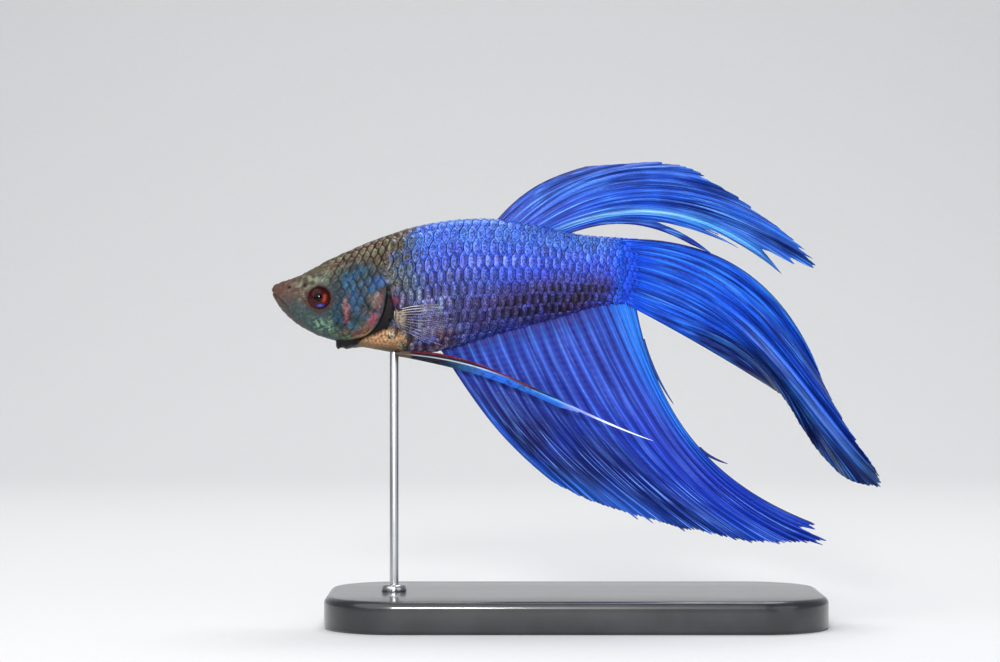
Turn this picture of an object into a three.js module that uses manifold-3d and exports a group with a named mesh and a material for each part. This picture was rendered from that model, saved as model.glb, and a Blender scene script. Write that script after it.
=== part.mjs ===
// Betta fish: an adult male with veil fins, swimming level, held on a display stand.
// Millimetres. The head is towards -X, the fish's left side towards -Y, and +Z is up.
// The origin is the middle of the stand's underside.
import * as THREE from "three";
import { mergeVertices } from "three/addons/utils/BufferGeometryUtils.js";
import Module from "manifold-3d";

const wasm = await Module();
wasm.setup();

// ---- Driving dimensions ----
const STANDARD_LENGTH = 46; // snout to the root of the tail fin
const SNOUT = { x: -37.9, z: 41.5 };
const GAP = 0.1; // clearance wherever one piece meets the next
const FIN_THICKNESS = 0.6; // of a fin's outer part, measured across the fish
const FIN_ROOT_THICKNESS = 0.9;
const FIN_ROOT_TAPER = 4; // power with which the thickness falls off beyond the root
const BASE = { length: 62, width: 30, height: 4, corner: 9, bevel: 0.5 };
const ROD = { x: -22.6, radius: 0.55, socketDepth: 3, intoBody: 2.6 };

// ---- Body profile: [distance behind the snout, height above or below the snout] ----
const BACK = [[0, 0], [0.25, 0.75], [1, 1.1], [3.5, 2], [8.5, 4.55], [13.5, 6.75], [18.5, 8.25],
  [24, 9.05], [28.5, 9], [33.5, 8.2], [38.5, 7.15], [46, 6.6]];
const BELLY = [[0, 0], [0.25, -0.8], [1, -2.15], [3.5, -4.4], [6, -5.7], [9, -6.4], [12.5, -7.35],
  [17, -7.95], [22, -7.35], [28.5, -5.4], [36, -3.4], [41, -2], [46, -1.75]];
// [distance behind the snout, half width]
const HALF_WIDTH = [[0, 0], [0.25, 0.95], [1, 1.55], [3.5, 2.45], [6, 3], [9.5, 3.65], [13, 4.05], [17, 4.25],
  [22, 4.2], [27, 3.9], [33, 3.2], [38.5, 2.3], [43, 1.35], [46, 0.5]];
// [distance behind the snout, share of the depth at which the body is widest, from the belly up]
const WIDEST = [[0, 0.5], [6, 0.44], [13, 0.42], [24, 0.46], [38, 0.5], [46, 0.5]];
const SECTION_POWER = 2.15; // 2 is an ellipse, more is fuller
const BODY_STATIONS = 24;
const BODY_SIDES = 20;
const FIRST_STATION = 0.0015; // the small flat end of the snout, as a share of the length
const STATION_CROWDING = 1.5; // above 1, the stations crowd towards the snout
const LEAST_HALF_WIDTH = 0.02;

// ---- Head ----
const EYE = { back: 6.1, down: 0.9, out: 2.25, radius: 1.5, bulge: 1.15 };
// Side outlines, each corner given by its distance behind the snout and its height above it.
// The head's rear edge follows the gill opening; the head is all that lies ahead of it.
const HEAD_CUT = { ahead: -2, above: 9, below: -9 };
const HEAD_REAR = [[12.6, 9], [13.4, 6], [14.2, 2.6], [14.6, 0.4], [14.55, -1.2], [14.1, -3.2], [13.2, -4.9],
  [11.6, -6], [9.6, -6.35], [8.2, -6.9], [8.1, -9]];
const GILL_COVER = [[14.4, 0.6], [14.35, -1.3], [13.9, -3.3], [12.9, -4.9], [11.2, -5.7], [9.8, -4.8],
  [9.3, -1.5], [9.7, 1.4], [11.2, 2.7], [13.6, 2.4]];
const GILL_COVER_RAISED = 0.12;
const GILL_COVER_DEPTH = 0.6;
const GILL_MEMBRANE = [[7.9, -6], [8, -8.4], [9.4, -8.2], [11.2, -7.6], [13, -6.6], [14.2, -4.9],
  [13.6, -4.5], [12.3, -5.7], [10.6, -6.2]];
const GILL_MEMBRANE_HANG = 0.62;
const LOWER_JAW = [[-1, -0.3], [0.7, -0.45], [1.9, -1.5], [2.7, -2.6], [2.5, -6], [-1, -6]];
const TAIL_STALK = [[36.5, 12], [37.7, 4], [36.5, -6], [50, -6], [50, 12]];
const OUTLINE_STEPS = 20; // of a smoothed outline
const CUT_REACH = 10; // how far a cutting prism reaches to each side of the fish, past its flanks
const MIDLINE_KEPT = 0.5; // half width of the strip along the middle that the gill covers stay out of

// ---- Fins ----
// A key ray: root and tip in the part's frame, the angles in degrees at which it leaves and ends,
// the share of it that stands free beyond the membrane, and its sideways places y: [root, tip].
function ray(root, rootAngle, tip, tipAngle, free = 0, y = [0, 0]) {
  return { root, rootAngle, tip, tipAngle, free, y };
}

const DORSAL = {
  rays: [
    ray([-10.2, 49.9], 50, [1.6, 57.2], 16),
    ray([-8.4, 49.6], 45, [11.6, 57.6], 6),
    ray([-7, 49.4], 41, [17.1, 55.5], -13.5),
    ray([-5.7, 49.2], 37, [25.3, 49.7], -33, 0.07),
    ray([-4.8, 49], 33, [28.7, 46.7], -33, 0.08),
    ray([-4.1, 48.9], 29, [30.2, 44.5], -32, 0.1),
    ray([-3.3, 48.7], 24, [25.9, 43.6], -44, 0.36),
    ray([-2.5, 48.5], 24, [20.4, 46.9], -29, 0.38, [0, -0.9]),
    ray([-1.5, 48.4], 22, [16.6, 46], -33, 0.4, [0, -2.2]),
  ],
  columnsPerGap: 3,
  rows: 8,
  fringe: 0.5,
  pleat: { waves: 3.4, phase: 0.6, depth: 0.75, lean: 0.9 },
};
const CAUDAL = {
  rays: [
    ray([7.2, 48], -1, [30.2, 33.1], -64),
    ray([7.2, 47], -4, [32.6, 27.6], -60),
    ray([7.2, 45.9], -7.5, [35, 23.2], -50),
    ray([7.2, 44.8], -10, [37.9, 19.2], -47),
    ray([7.2, 43.7], -13.5, [37.8, 17.4], -44),
    ray([7.2, 42.9], -15.5, [34.1, 18.1], -58),
    ray([7.2, 41.7], -20, [29.8, 22.7], -68),
    ray([7.2, 40.6], -28, [26.4, 28], -60.5),
    ray([7.2, 40], -33, [25.2, 29.2], -31),
  ],
  columnsPerGap: 3,
  rows: 8,
  fringe: 0.5,
  pleat: { waves: 3.2, phase: 0.2, depth: 1.25, lean: 3.2 },
};
const ANAL = {
  rays: [
    ray([-16.6, 35.2], -62, [-2.6, 17.5], -38),
    ray([-13.2, 35.9], -68, [3, 14.9], -40),
    ray([-9.7, 37], -70, [9.4, 13.1], -38),
    ray([-6, 38.1], -70, [14.6, 11.7], -36),
    ray([-2.2, 39.1], -68, [21.2, 10.5], -32),
    ray([1.6, 40], -66, [26.2, 10], -27),
    ray([4.3, 40.9], -66, [30.8, 10.5], -19, 0.05),
    ray([5.9, 41.4], -72, [29.8, 12.5], -21, 0.05),
  ],
  columnsPerGap: 3,
  rows: 8,
  fringe: 0.5,
  pleat: { waves: 2.8, phase: 1.1, depth: 0.9, lean: -0.6 },
};
const PELVIC = {
  rays: [
    ray([-21, 33.15], -11, [-1.9, 27], -25, 0, [-1.2, -3.1]),
    ray([-20.9, 33.55], -5, [9.6, 22.9], -19, 0.36, [-1.2, -3.6]),
    ray([-20.6, 34], -2, [-4.6, 29.6], -26, 0, [-1.2, -2.8]),
  ],
  columnsPerGap: 1,
  rows: 9,
  fringe: 0,
  pleat: { waves: 0, phase: 0, depth: 0, lean: 0 },
};
const PECTORAL = {
  rays: [
    ray([-22.6, 39.1], 24, [-16.6, 39.9], 4, 0, [-3.9, -6.3]),
    ray([-22.6, 38.4], 4, [-15.9, 38.3], -6, 0, [-3.9, -6.6]),
    ray([-22.5, 37.7], -14, [-16.2, 36.4], -12, 0, [-3.9, -6.5]),
    ray([-22.3, 36.9], -34, [-17.7, 34.7], -22, 0, [-3.9, -6]),
  ],
  columnsPerGap: 2,
  rows: 4,
  fringe: 0.25,
  pleat: { waves: 2, phase: 0, depth: 0.1, lean: 0 },
};
const HANDLE = 0.4; // length of a ray's two Bezier handles, as a share of its chord
const PLEAT_GROWTH = 1.2; // power with which the pleats deepen along a ray
// A ray's free end: its width in millimetres, and half its base as a share of the gap between rays.
const FREE_RAY = { width: 0.55, tipWidth: 0.3, base: 0.1, rows: 3 };

// ---- Smooth curve through knots [x, y, ...]: cubic Hermite pieces with averaged slopes ----
function through(knots, x) {
  const last = knots.length - 1;
  const slope = (i) => {
    const a = knots[Math.max(i - 1, 0)];
    const b = knots[Math.min(i + 1, last)];
    return (b[1] - a[1]) / (b[0] - a[0]);
  };
  let i = 0;
  while (i < last - 1 && x > knots[i + 1][0]) i += 1;
  const [x0, y0] = knots[i];
  const [x1, y1] = knots[i + 1];
  const span = x1 - x0;
  const t = Math.min(Math.max((x - x0) / span, 0), 1);
  const h00 = 2 * t ** 3 - 3 * t ** 2 + 1;
  const h10 = t ** 3 - 2 * t ** 2 + t;
  const h01 = 3 * t ** 2 - 2 * t ** 3;
  const h11 = t ** 3 - t ** 2;
  return h00 * y0 + h10 * span * slope(i) + h01 * y1 + h11 * span * slope(i + 1);
}

// The body's measures run over the square root of the distance, which rounds the snout.
function bodyMeasure(knots, back) {
  return through(knots.map(([a, value]) => [Math.sqrt(a), value]), Math.sqrt(back));
}

// ---- Meshes ----
function geometryOf(points, triangles) {
  const geometry = new THREE.BufferGeometry();
  geometry.setAttribute("position", new THREE.Float32BufferAttribute(points.flat(), 3));
  let volume = 0;
  const corner = new THREE.Vector3();
  for (const [a, b, c] of triangles) {
    corner.crossVectors(new THREE.Vector3(...points[a]), new THREE.Vector3(...points[b]));
    volume += corner.dot(new THREE.Vector3(...points[c]));
  }
  const outward = volume > 0 ? triangles : triangles.map(([a, b, c]) => [a, c, b]);
  geometry.setIndex(outward.flat());
  return geometry;
}

// A closed tube of rings, each with the same number of points, with a fan over both ends.
function loftGeometry(rings) {
  const sides = rings[0].length;
  const points = rings.flat();
  const triangles = [];
  for (let i = 0; i + 1 < rings.length; i += 1) {
    for (let j = 0; j < sides; j += 1) {
      const k = (j + 1) % sides;
      const [a, b, c, d] = [i * sides + j, i * sides + k, (i + 1) * sides + k, (i + 1) * sides + j];
      triangles.push([a, b, c], [a, c, d]);
    }
  }
  for (const [ring, turned] of [[0, false], [rings.length - 1, true]]) {
    const middle = [0, 1, 2].map((n) => rings[ring].reduce((sum, p) => sum + p[n], 0) / sides);
    points.push(middle);
    for (let j = 0; j < sides; j += 1) {
      const k = (j + 1) % sides;
      const fan = [points.length - 1, ring * sides + k, ring * sides + j];
      triangles.push(turned ? [fan[0], fan[2], fan[1]] : fan);
    }
  }
  return geometryOf(points, triangles);
}

// A closed sheet: four-cornered cells over the front and back points, and a wall along every open edge.
function sheetGeometry(front, back, cells) {
  const count = front.length;
  const edgesOf = ([a, b, c, d]) => [[a, b], [b, c], [c, d], [d, a]];
  const used = new Set(cells.flatMap(edgesOf).map(String));
  const triangles = [];
  const quad = (a, b, c, d) => triangles.push([a, b, c], [a, c, d]);
  for (const [a, b, c, d] of cells) {
    quad(a, b, c, d);
    quad(d + count, c + count, b + count, a + count);
  }
  for (const [a, b] of cells.flatMap(edgesOf)) {
    if (!used.has(String([b, a]))) quad(b, a, a + count, b + count);
  }
  return geometryOf([...front, ...back], triangles);
}

// ---- Solids: booleans between closed meshes ----
function solidOf(geometry) {
  const plain = geometry.index ? geometry.toNonIndexed() : geometry.clone();
  const bare = new THREE.BufferGeometry().setAttribute("position", plain.getAttribute("position"));
  const merged = mergeVertices(bare, 1e-4);
  return new wasm.Manifold(
    new wasm.Mesh({
      numProp: 3,
      vertProperties: merged.attributes.position.array,
      triVerts: new Uint32Array(merged.index.array),
    }),
  );
}

function largestPiece(solid) {
  return solid.decompose().reduce((best, piece) => (piece.volume() > best.volume() ? piece : best));
}

function meshOf(name, solid, material) {
  const { vertProperties, triVerts, numProp, numVert } = largestPiece(solid).getMesh();
  const positions = new Float32Array(numVert * 3);
  for (let i = 0; i < numVert; i += 1) {
    positions.set(vertProperties.subarray(i * numProp, i * numProp + 3), i * 3);
  }
  const geometry = new THREE.BufferGeometry();
  geometry.setAttribute("position", new THREE.BufferAttribute(positions, 3));
  geometry.setIndex(new THREE.BufferAttribute(new Uint32Array(triVerts), 1));
  geometry.computeVertexNormals();
  const mesh = new THREE.Mesh(geometry, material);
  mesh.name = name;
  return mesh;
}

// ---- Body ----
// The whole body from snout to tail root, grown outwards on every side by `grow`.
function bodySolid(grow) {
  const rings = [];
  const stretch = 1 + (2 * grow) / STANDARD_LENGTH;
  for (let i = 0; i <= BODY_STATIONS; i += 1) {
    const back = STANDARD_LENGTH * Math.max(i / BODY_STATIONS, FIRST_STATION) ** STATION_CROWDING;
    const top = bodyMeasure(BACK, back) + grow;
    const bottom = bodyMeasure(BELLY, back) - grow;
    const half = Math.max(bodyMeasure(HALF_WIDTH, back) + grow, LEAST_HALF_WIDTH);
    const widest = bottom + (top - bottom) * through(WIDEST, back);
    const x = SNOUT.x - grow + back * stretch;
    rings.push(
      Array.from({ length: BODY_SIDES }, (_, j) => {
        const turn = (2 * Math.PI * j) / BODY_SIDES;
        const rise = Math.sign(Math.cos(turn)) * Math.abs(Math.cos(turn)) ** (2 / SECTION_POWER);
        const side = Math.sign(Math.sin(turn)) * Math.abs(Math.sin(turn)) ** (2 / SECTION_POWER);
        const reach = rise > 0 ? top - widest : widest - bottom;
        return [x, half * side, SNOUT.z + widest + reach * rise];
      }),
    );
  }
  return solidOf(loftGeometry(rings));
}

// A prism across the fish from y0 to y1, with a side outline given behind and above the snout.
function prism(outline, { y0 = -CUT_REACH, y1 = CUT_REACH, shift = [0, 0] } = {}) {
  const place = ([back, up]) => new THREE.Vector2(SNOUT.x + back + shift[0], SNOUT.z + up + shift[1]);
  const shape = new THREE.Shape(outline.map(place));
  const geometry = new THREE.ExtrudeGeometry(shape, { depth: y1 - y0, bevelEnabled: false });
  geometry.rotateX(Math.PI / 2);
  geometry.translate(0, y1, 0);
  return solidOf(geometry);
}

// A smooth curve through the given places, cut into the given number of steps.
function smoothed(places, steps) {
  const curve = new THREE.SplineCurve(places.map(([back, up]) => new THREE.Vector2(back, up)));
  return curve.getPoints(steps).map((p) => [p.x, p.y]);
}

function headRegion(shift) {
  const { ahead, above, below } = HEAD_CUT;
  return prism([[ahead, above], ...smoothed(HEAD_REAR, OUTLINE_STEPS), [ahead, below]], { shift });
}

function gillCoverRegion(side) {
  const outline = smoothed([...GILL_COVER, GILL_COVER[0]], OUTLINE_STEPS).slice(0, -1);
  return side < 0 ? prism(outline, { y1: -MIDLINE_KEPT }) : prism(outline, { y0: MIDLINE_KEPT });
}

function eye(side, grow = 0) {
  const geometry = new THREE.SphereGeometry(1, 14, 9);
  geometry.scale(EYE.radius + grow, EYE.bulge + grow, EYE.radius + grow);
  geometry.translate(SNOUT.x + EYE.back, side * EYE.out, SNOUT.z - EYE.down);
  return solidOf(geometry);
}

// ---- Fins ----
function rayAt(rays, u) {
  const place = u * (rays.length - 1);
  const pick = (read) => through(rays.map((r, i) => [i, read(r)]), place);
  const root = [pick((r) => r.root[0]), pick((r) => r.root[1])];
  const tip = [pick((r) => r.tip[0]), pick((r) => r.tip[1])];
  const handle = HANDLE * Math.hypot(tip[0] - root[0], tip[1] - root[1]);
  const [leave, arrive] = [pick((r) => r.rootAngle), pick((r) => r.tipAngle)].map(THREE.MathUtils.degToRad);
  const curve = new THREE.CubicBezierCurve(
    new THREE.Vector2(...root),
    new THREE.Vector2(root[0] + handle * Math.cos(leave), root[1] + handle * Math.sin(leave)),
    new THREE.Vector2(tip[0] - handle * Math.cos(arrive), tip[1] - handle * Math.sin(arrive)),
    new THREE.Vector2(...tip),
  );
  return { curve, y: [pick((r) => r.y[0]), pick((r) => r.y[1])] };
}

// Sideways place of the fin's middle surface: pleats that open towards the margin, and a lean.
function pleatAt({ waves, phase, depth, lean }, u, v) {
  return depth * v ** PLEAT_GROWTH * Math.sin(2 * Math.PI * waves * u + phase) + lean * v ** 2;
}

// The columns of the membrane's grid: one along each key ray, or two where the ray stands free, and
// some between rays, where every other one stops short and makes a tooth.
function finColumns({ rays, columnsPerGap, fringe }) {
  const last = rays.length - 1;
  const columns = [];
  rays.forEach((key, i) => {
    const reach = 1 - key.free;
    if (key.free) {
      columns.push({ place: Math.max(i - FREE_RAY.base, 0), reach, freeRay: i });
      columns.push({ place: Math.min(i + FREE_RAY.base, last), reach });
    } else {
      columns.push({ place: i, reach });
    }
    for (let n = 1; n <= columnsPerGap && i < last; n += 1) {
      const across = n / (columnsPerGap + 1);
      const length = Math.hypot(key.tip[0] - key.root[0], key.tip[1] - key.root[1]);
      const tooth = n % 2 ? fringe / length : 0;
      const web = reach + (1 - rays[i + 1].free - reach) * across;
      columns.push({ place: i + across, reach: web - tooth });
    }
  });
  return columns;
}

function finSolid(fin) {
  const [front, back, cells] = [[], [], []];
  const last = fin.rays.length - 1;
  const addPoint = (curve, y, place, v, aside = 0) => {
    const p = curve.getPoint(v);
    const along = curve.getTangent(v);
    const middle = y[0] + (y[1] - y[0]) * v + pleatAt(fin.pleat, place / last, v);
    const rooted = (1 - v) ** FIN_ROOT_TAPER;
    const half = (FIN_THICKNESS + (FIN_ROOT_THICKNESS - FIN_THICKNESS) * rooted) / 2;
    const [x, z] = [p.x - along.y * aside, p.y + along.x * aside];
    front.push([x, middle - half, z]);
    back.push([x, middle + half, z]);
    return front.length - 1;
  };
  const columns = finColumns(fin);
  const grid = columns.map(({ place, reach }) => {
    const { curve, y } = rayAt(fin.rays, place / last);
    return Array.from({ length: fin.rows + 1 }, (_, j) => addPoint(curve, y, place, (reach * j) / fin.rows));
  });
  const quad = (near, far, nearNext, farNext) => cells.push([near, far, farNext, nearNext]);
  for (let i = 0; i + 1 < grid.length; i += 1) {
    for (let j = 0; j < fin.rows; j += 1) {
      quad(grid[i][j], grid[i + 1][j], grid[i][j + 1], grid[i + 1][j + 1]);
    }
  }
  columns.forEach(({ reach, freeRay }, i) => {
    if (freeRay === undefined) return;
    const { curve, y } = rayAt(fin.rays, freeRay / last);
    let [near, far] = [grid[i][fin.rows], grid[i + 1][fin.rows]];
    const along = curve.getTangent(reach);
    const across = [front[far][0] - front[near][0], front[far][2] - front[near][2]];
    const farSide = Math.sign(along.x * across[1] - along.y * across[0]);
    for (let n = 1; n <= FREE_RAY.rows; n += 1) {
      const share = n / FREE_RAY.rows;
      const half = (FREE_RAY.width + (FREE_RAY.tipWidth - FREE_RAY.width) * share) / 2;
      const v = reach + (1 - reach) * share;
      const nearNext = addPoint(curve, y, freeRay, v, -farSide * half);
      const farNext = addPoint(curve, y, freeRay, v, farSide * half);
      quad(near, far, nearNext, farNext);
      [near, far] = [nearNext, farNext];
    }
  });
  return solidOf(sheetGeometry(front, back, cells));
}

// The same fin on the fish's right side.
function mirrored(fin) {
  return { ...fin, rays: fin.rays.map((r) => ({ ...r, y: r.y.map((y) => -y) })) };
}

// ---- Stand ----
function baseSolid() {
  const [x, y, r] = [BASE.length / 2 - BASE.bevel, BASE.width / 2 - BASE.bevel, BASE.corner];
  const shape = new THREE.Shape();
  shape.moveTo(-x + r, -y);
  shape.lineTo(x - r, -y);
  shape.absarc(x - r, -y + r, r, -Math.PI / 2, 0);
  shape.lineTo(x, y - r);
  shape.absarc(x - r, y - r, r, 0, Math.PI / 2);
  shape.lineTo(-x + r, y);
  shape.absarc(-x + r, y - r, r, Math.PI / 2, Math.PI);
  shape.lineTo(-x, -y + r);
  shape.absarc(-x + r, -y + r, r, Math.PI, 1.5 * Math.PI);
  const geometry = new THREE.ExtrudeGeometry(shape, {
    depth: BASE.height - 2 * BASE.bevel,
    curveSegments: 6,
    bevelSize: BASE.bevel,
    bevelThickness: BASE.bevel,
    bevelSegments: 1,
  });
  geometry.translate(0, 0, BASE.bevel);
  return solidOf(geometry);
}

function rodSolid(grow) {
  const bottom = BASE.height - ROD.socketDepth - grow;
  const top = SNOUT.z + bodyMeasure(BELLY, ROD.x - SNOUT.x) + ROD.intoBody + grow;
  const geometry = new THREE.CylinderGeometry(ROD.radius + grow, ROD.radius + grow, top - bottom, 16);
  geometry.rotateX(Math.PI / 2);
  geometry.translate(ROD.x, 0, (top + bottom) / 2);
  return solidOf(geometry);
}

// ---- Materials ----
function finish(color, roughness, metalness = 0) {
  return new THREE.MeshStandardMaterial({ color, roughness, metalness });
}

const BLUE_SCALES = finish(0x4450b8, 0.4, 0.2);
const HEAD_SKIN = finish(0x5c6660, 0.5);
const GILL_BLUE = finish(0x2f6170, 0.45, 0.1);
const FIN_BLUE = finish(0x1d43c8, 0.45, 0.1);
const FIN_CLEAR = finish(0x8f93a8, 0.4);
const PELVIC_BLUE = finish(0x2a5fae, 0.45);
const MEMBRANE_DARK = finish(0x1c1416, 0.6);
const EYE_RED = finish(0x54160f, 0.1);
const BASE_DARK = finish(0x26282b, 0.4);
const ROD_STEEL = finish(0xb5b7ba, 0.3, 1);

// ---- The fish ----
const body = bodySolid(0);
const bodyClear = bodySolid(GAP);
const coverOutside = bodySolid(GILL_COVER_RAISED);
const coverBed = bodySolid(-GILL_COVER_DEPTH);
const coverBedClear = bodySolid(-GILL_COVER_DEPTH - GAP);
const rod = rodSolid(0);
const rodClear = rodSolid(GAP);

// The shell of one gill cover, and the pocket in the head and trunk that it sits in.
function gillCover(side) {
  return coverOutside.subtract(coverBed).intersect(gillCoverRegion(side));
}

function coverPocket(side) {
  const region = gillCoverRegion(side);
  const grown = region
    .add(region.translate([GAP, 0, 0]))
    .add(region.translate([-GAP, 0, 0]))
    .add(region.translate([0, 0, GAP]))
    .add(region.translate([0, 0, -GAP]));
  return grown.subtract(coverBedClear);
}

const wholeHead = body.intersect(headRegion([0, 0]));
const jawClear = prism(LOWER_JAW, { shift: [GAP, GAP] });
const tailClear = prism(TAIL_STALK, { shift: [-GAP, 0] });
const pockets = coverPocket(-1).add(coverPocket(1));
const sockets = eye(-1, GAP).add(eye(1, GAP));
const membrane = bodySolid(GILL_MEMBRANE_HANG).intersect(prism(GILL_MEMBRANE)).subtract(bodyClear);

const pieces = [
  meshOf("head", wholeHead.subtract(jawClear).subtract(pockets).subtract(sockets), HEAD_SKIN),
  meshOf("lower_jaw", wholeHead.intersect(prism(LOWER_JAW)), HEAD_SKIN),
  meshOf("gill_cover_left", gillCover(-1), GILL_BLUE),
  meshOf("gill_cover_right", gillCover(1), GILL_BLUE),
  meshOf("gill_membrane", membrane.subtract(pockets), MEMBRANE_DARK),
  meshOf("eye_left", eye(-1), EYE_RED),
  meshOf("eye_right", eye(1), EYE_RED),
  meshOf(
    "trunk",
    body.subtract(headRegion([GAP, -GAP])).subtract(pockets).subtract(tailClear).subtract(rodClear),
    BLUE_SCALES,
  ),
  meshOf("tail_stalk", body.intersect(prism(TAIL_STALK)), BLUE_SCALES),
  meshOf("fin_dorsal", finSolid(DORSAL).subtract(bodyClear), FIN_BLUE),
  meshOf("fin_caudal", finSolid(CAUDAL).subtract(bodyClear), FIN_BLUE),
  meshOf("fin_anal", finSolid(ANAL).subtract(bodyClear), FIN_BLUE),
  meshOf("fin_pelvic_left", finSolid(PELVIC).subtract(bodyClear), PELVIC_BLUE),
  meshOf("fin_pelvic_right", finSolid(mirrored(PELVIC)).subtract(bodyClear), PELVIC_BLUE),
  meshOf("fin_pectoral_left", finSolid(PECTORAL).subtract(bodyClear), FIN_CLEAR),
  meshOf("fin_pectoral_right", finSolid(mirrored(PECTORAL)).subtract(bodyClear), FIN_CLEAR),
  meshOf("stand_base", baseSolid().subtract(rodClear), BASE_DARK),
  meshOf("stand_rod", rod, ROD_STEEL),
];

const betta = new THREE.Group();
betta.add(...pieces);

export default betta;
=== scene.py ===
"""The looks of a betta fish display model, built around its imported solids.

The frame is in metres. The tables below are in millimetres, as a maker would measure the fish, and
`place_mesh` turns them into metres. "back" is a distance behind the snout and "up" a height above it.
The head is towards -X, the fish's left side towards -Y and +Z is up.
"""

from types import SimpleNamespace

import bpy
import numpy as np
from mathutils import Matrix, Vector


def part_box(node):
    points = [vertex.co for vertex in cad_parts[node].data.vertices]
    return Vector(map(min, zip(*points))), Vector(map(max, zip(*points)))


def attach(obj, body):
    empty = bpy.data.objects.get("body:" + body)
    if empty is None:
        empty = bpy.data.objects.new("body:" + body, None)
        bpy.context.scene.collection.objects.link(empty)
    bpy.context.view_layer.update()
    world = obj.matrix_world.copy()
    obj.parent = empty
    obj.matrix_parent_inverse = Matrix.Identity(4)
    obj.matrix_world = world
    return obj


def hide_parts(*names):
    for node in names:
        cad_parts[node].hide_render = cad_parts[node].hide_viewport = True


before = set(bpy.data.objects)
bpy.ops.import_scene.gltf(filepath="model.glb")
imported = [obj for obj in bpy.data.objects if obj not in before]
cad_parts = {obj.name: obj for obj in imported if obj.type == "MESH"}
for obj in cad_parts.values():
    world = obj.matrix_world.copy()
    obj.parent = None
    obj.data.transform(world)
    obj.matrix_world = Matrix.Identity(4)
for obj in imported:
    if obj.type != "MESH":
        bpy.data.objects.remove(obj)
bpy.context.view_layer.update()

MM = 0.001
TAU = 2 * np.pi


def box_mm(node):
    """Lowest and highest corner of a CAD node, in millimetres."""
    low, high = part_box(node)
    return np.array(low) / MM, np.array(high) / MM


# ---- Driving measures ----
HEAD_LOW = box_mm("head")[0]
EYE_MIDDLE = sum(box_mm("eye_left")) / 2
EYE_DOWN = 0.9  # the eye's middle below the snout
SNOUT_X = HEAD_LOW[0]
SNOUT_Z = EYE_MIDDLE[2] + EYE_DOWN
LENGTH = 46.0  # snout to the root of the tail fin
SECTION_POWER = 2.15  # 2 is an ellipse, more is fuller
SCALE_COAT = 0.15  # depth of the coat of scales over the skin
HEAD_COAT = 0.06  # the same on the head, whose scales are small
SCALE_SWEEP = 0.37  # share of its length by which a scale's free edge falls back at its sides

# The body along its length: height of the back, height of the belly, half width, and the share of
# the height at which a section is widest.
BACK = [(0, 0), (0.25, 0.75), (1, 1.1), (3.5, 2), (8.5, 4.55), (13.5, 6.75), (18.5, 8.25),
        (24, 9.05), (28.5, 9), (33.5, 8.2), (38.5, 7.15), (46, 6.6)]
BELLY = [(0, 0), (0.25, -0.8), (1, -2.15), (3.5, -4.4), (6, -5.7), (9, -6.4), (12.5, -7.35),
         (17, -7.95), (22, -7.35), (28.5, -5.4), (36, -3.4), (41, -2), (46, -1.75)]
HALF_WIDTH = [(0, 0), (0.25, 0.95), (1, 1.55), (3.5, 2.45), (6, 3), (9.5, 3.65), (13, 4.05),
              (17, 4.25), (22, 4.2), (27, 3.9), (33, 3.2), (38.5, 2.3), (43, 1.35), (46, 0.5)]
WIDEST = [(0, 0.5), (6, 0.44), (13, 0.42), (24, 0.46), (38, 0.5), (46, 0.5)]

# Lines on the flanks, each place (back, up).
MOUTH = [(-0.1, -0.12), (0.5, -0.55), (1.2, -1.25), (1.9, -1.85), (2.3, -2.3)]
CHEEK_EDGE = [(9.3, 1.6), (9.55, 0.2), (9.5, -1.8), (9.2, -3.6), (8.3, -4.9), (6.6, -5.3)]
GILL_EDGE = [(13.6, 3.1), (14.3, 1.6), (14.5, 0.2), (14.3, -1.4), (13.9, -3), (13.1, -4.5),
             (11.9, -5.6), (10.4, -6.1), (8.5, -6.3)]
THROAT_EDGE = [(7.6, -6.15), (9.5, -6.2), (11, -5.95), (12.3, -5.55), (13.4, -4.6)]


# ---- Numbers ----
def through(knots, x):
    """Values at x of a smooth curve through the knots (x, value, ...): cubic Hermite pieces whose
    slope at each knot is that of the chord between its two neighbours."""
    knots = np.asarray(knots, float)
    places, values = knots[:, 0], knots[:, 1:]
    index = np.arange(len(knots))
    before, after = np.maximum(index - 1, 0), np.minimum(index + 1, len(knots) - 1)
    slopes = (values[after] - values[before]) / (places[after] - places[before])[:, None]
    x = np.asarray(x, float)
    i = np.clip(np.searchsorted(places, x, side="right") - 1, 0, len(knots) - 2)
    span = (places[i + 1] - places[i])[..., None]
    t = np.clip((x - places[i])[..., None] / span, 0, 1)
    made = (
        (2 * t**3 - 3 * t**2 + 1) * values[i]
        + (t**3 - 2 * t**2 + t) * span * slopes[i]
        + (3 * t**2 - 2 * t**3) * values[i + 1]
        + (t**3 - t**2) * span * slopes[i + 1]
    )
    return made[..., 0] if values.shape[1] == 1 else made


def step(start, end, x):
    """0 up to start, 1 from end on, and a smooth S between them."""
    t = np.clip((x - start) / (end - start), 0, 1)
    return t * t * (3 - 2 * t)


def bump(x, width):
    """A bell of height 1 at 0 that is down to 1/e at the width."""
    return np.exp(-((x / width) ** 2))


def oval(back, up, middle, radii, soft=0.5, tilt=0.0):
    """1 inside an ellipse with those radii and 0 outside, fading over `soft` of the radius. The tilt
    turns it, in degrees, its first radius rising towards the tail."""
    turn = np.radians(tilt)
    x, z = back - middle[0], up - middle[1]
    along, across = x * np.cos(turn) + z * np.sin(turn), z * np.cos(turn) - x * np.sin(turn)
    return 1 - step(1 - soft, 1 + soft, np.hypot(along / radii[0], across / radii[1]))


def unit(vectors):
    """Vectors brought to length 1."""
    return vectors / np.maximum(np.linalg.norm(vectors, axis=-1, keepdims=True), 1e-12)


def full_turn(sides):
    """Angles evenly spaced once round."""
    return np.arange(sides) / sides * TAU


def together(*parts):
    """Arrays spread over one another's shape and stacked as a new last axis."""
    return np.stack(np.broadcast_arrays(*parts), axis=-1)


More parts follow.
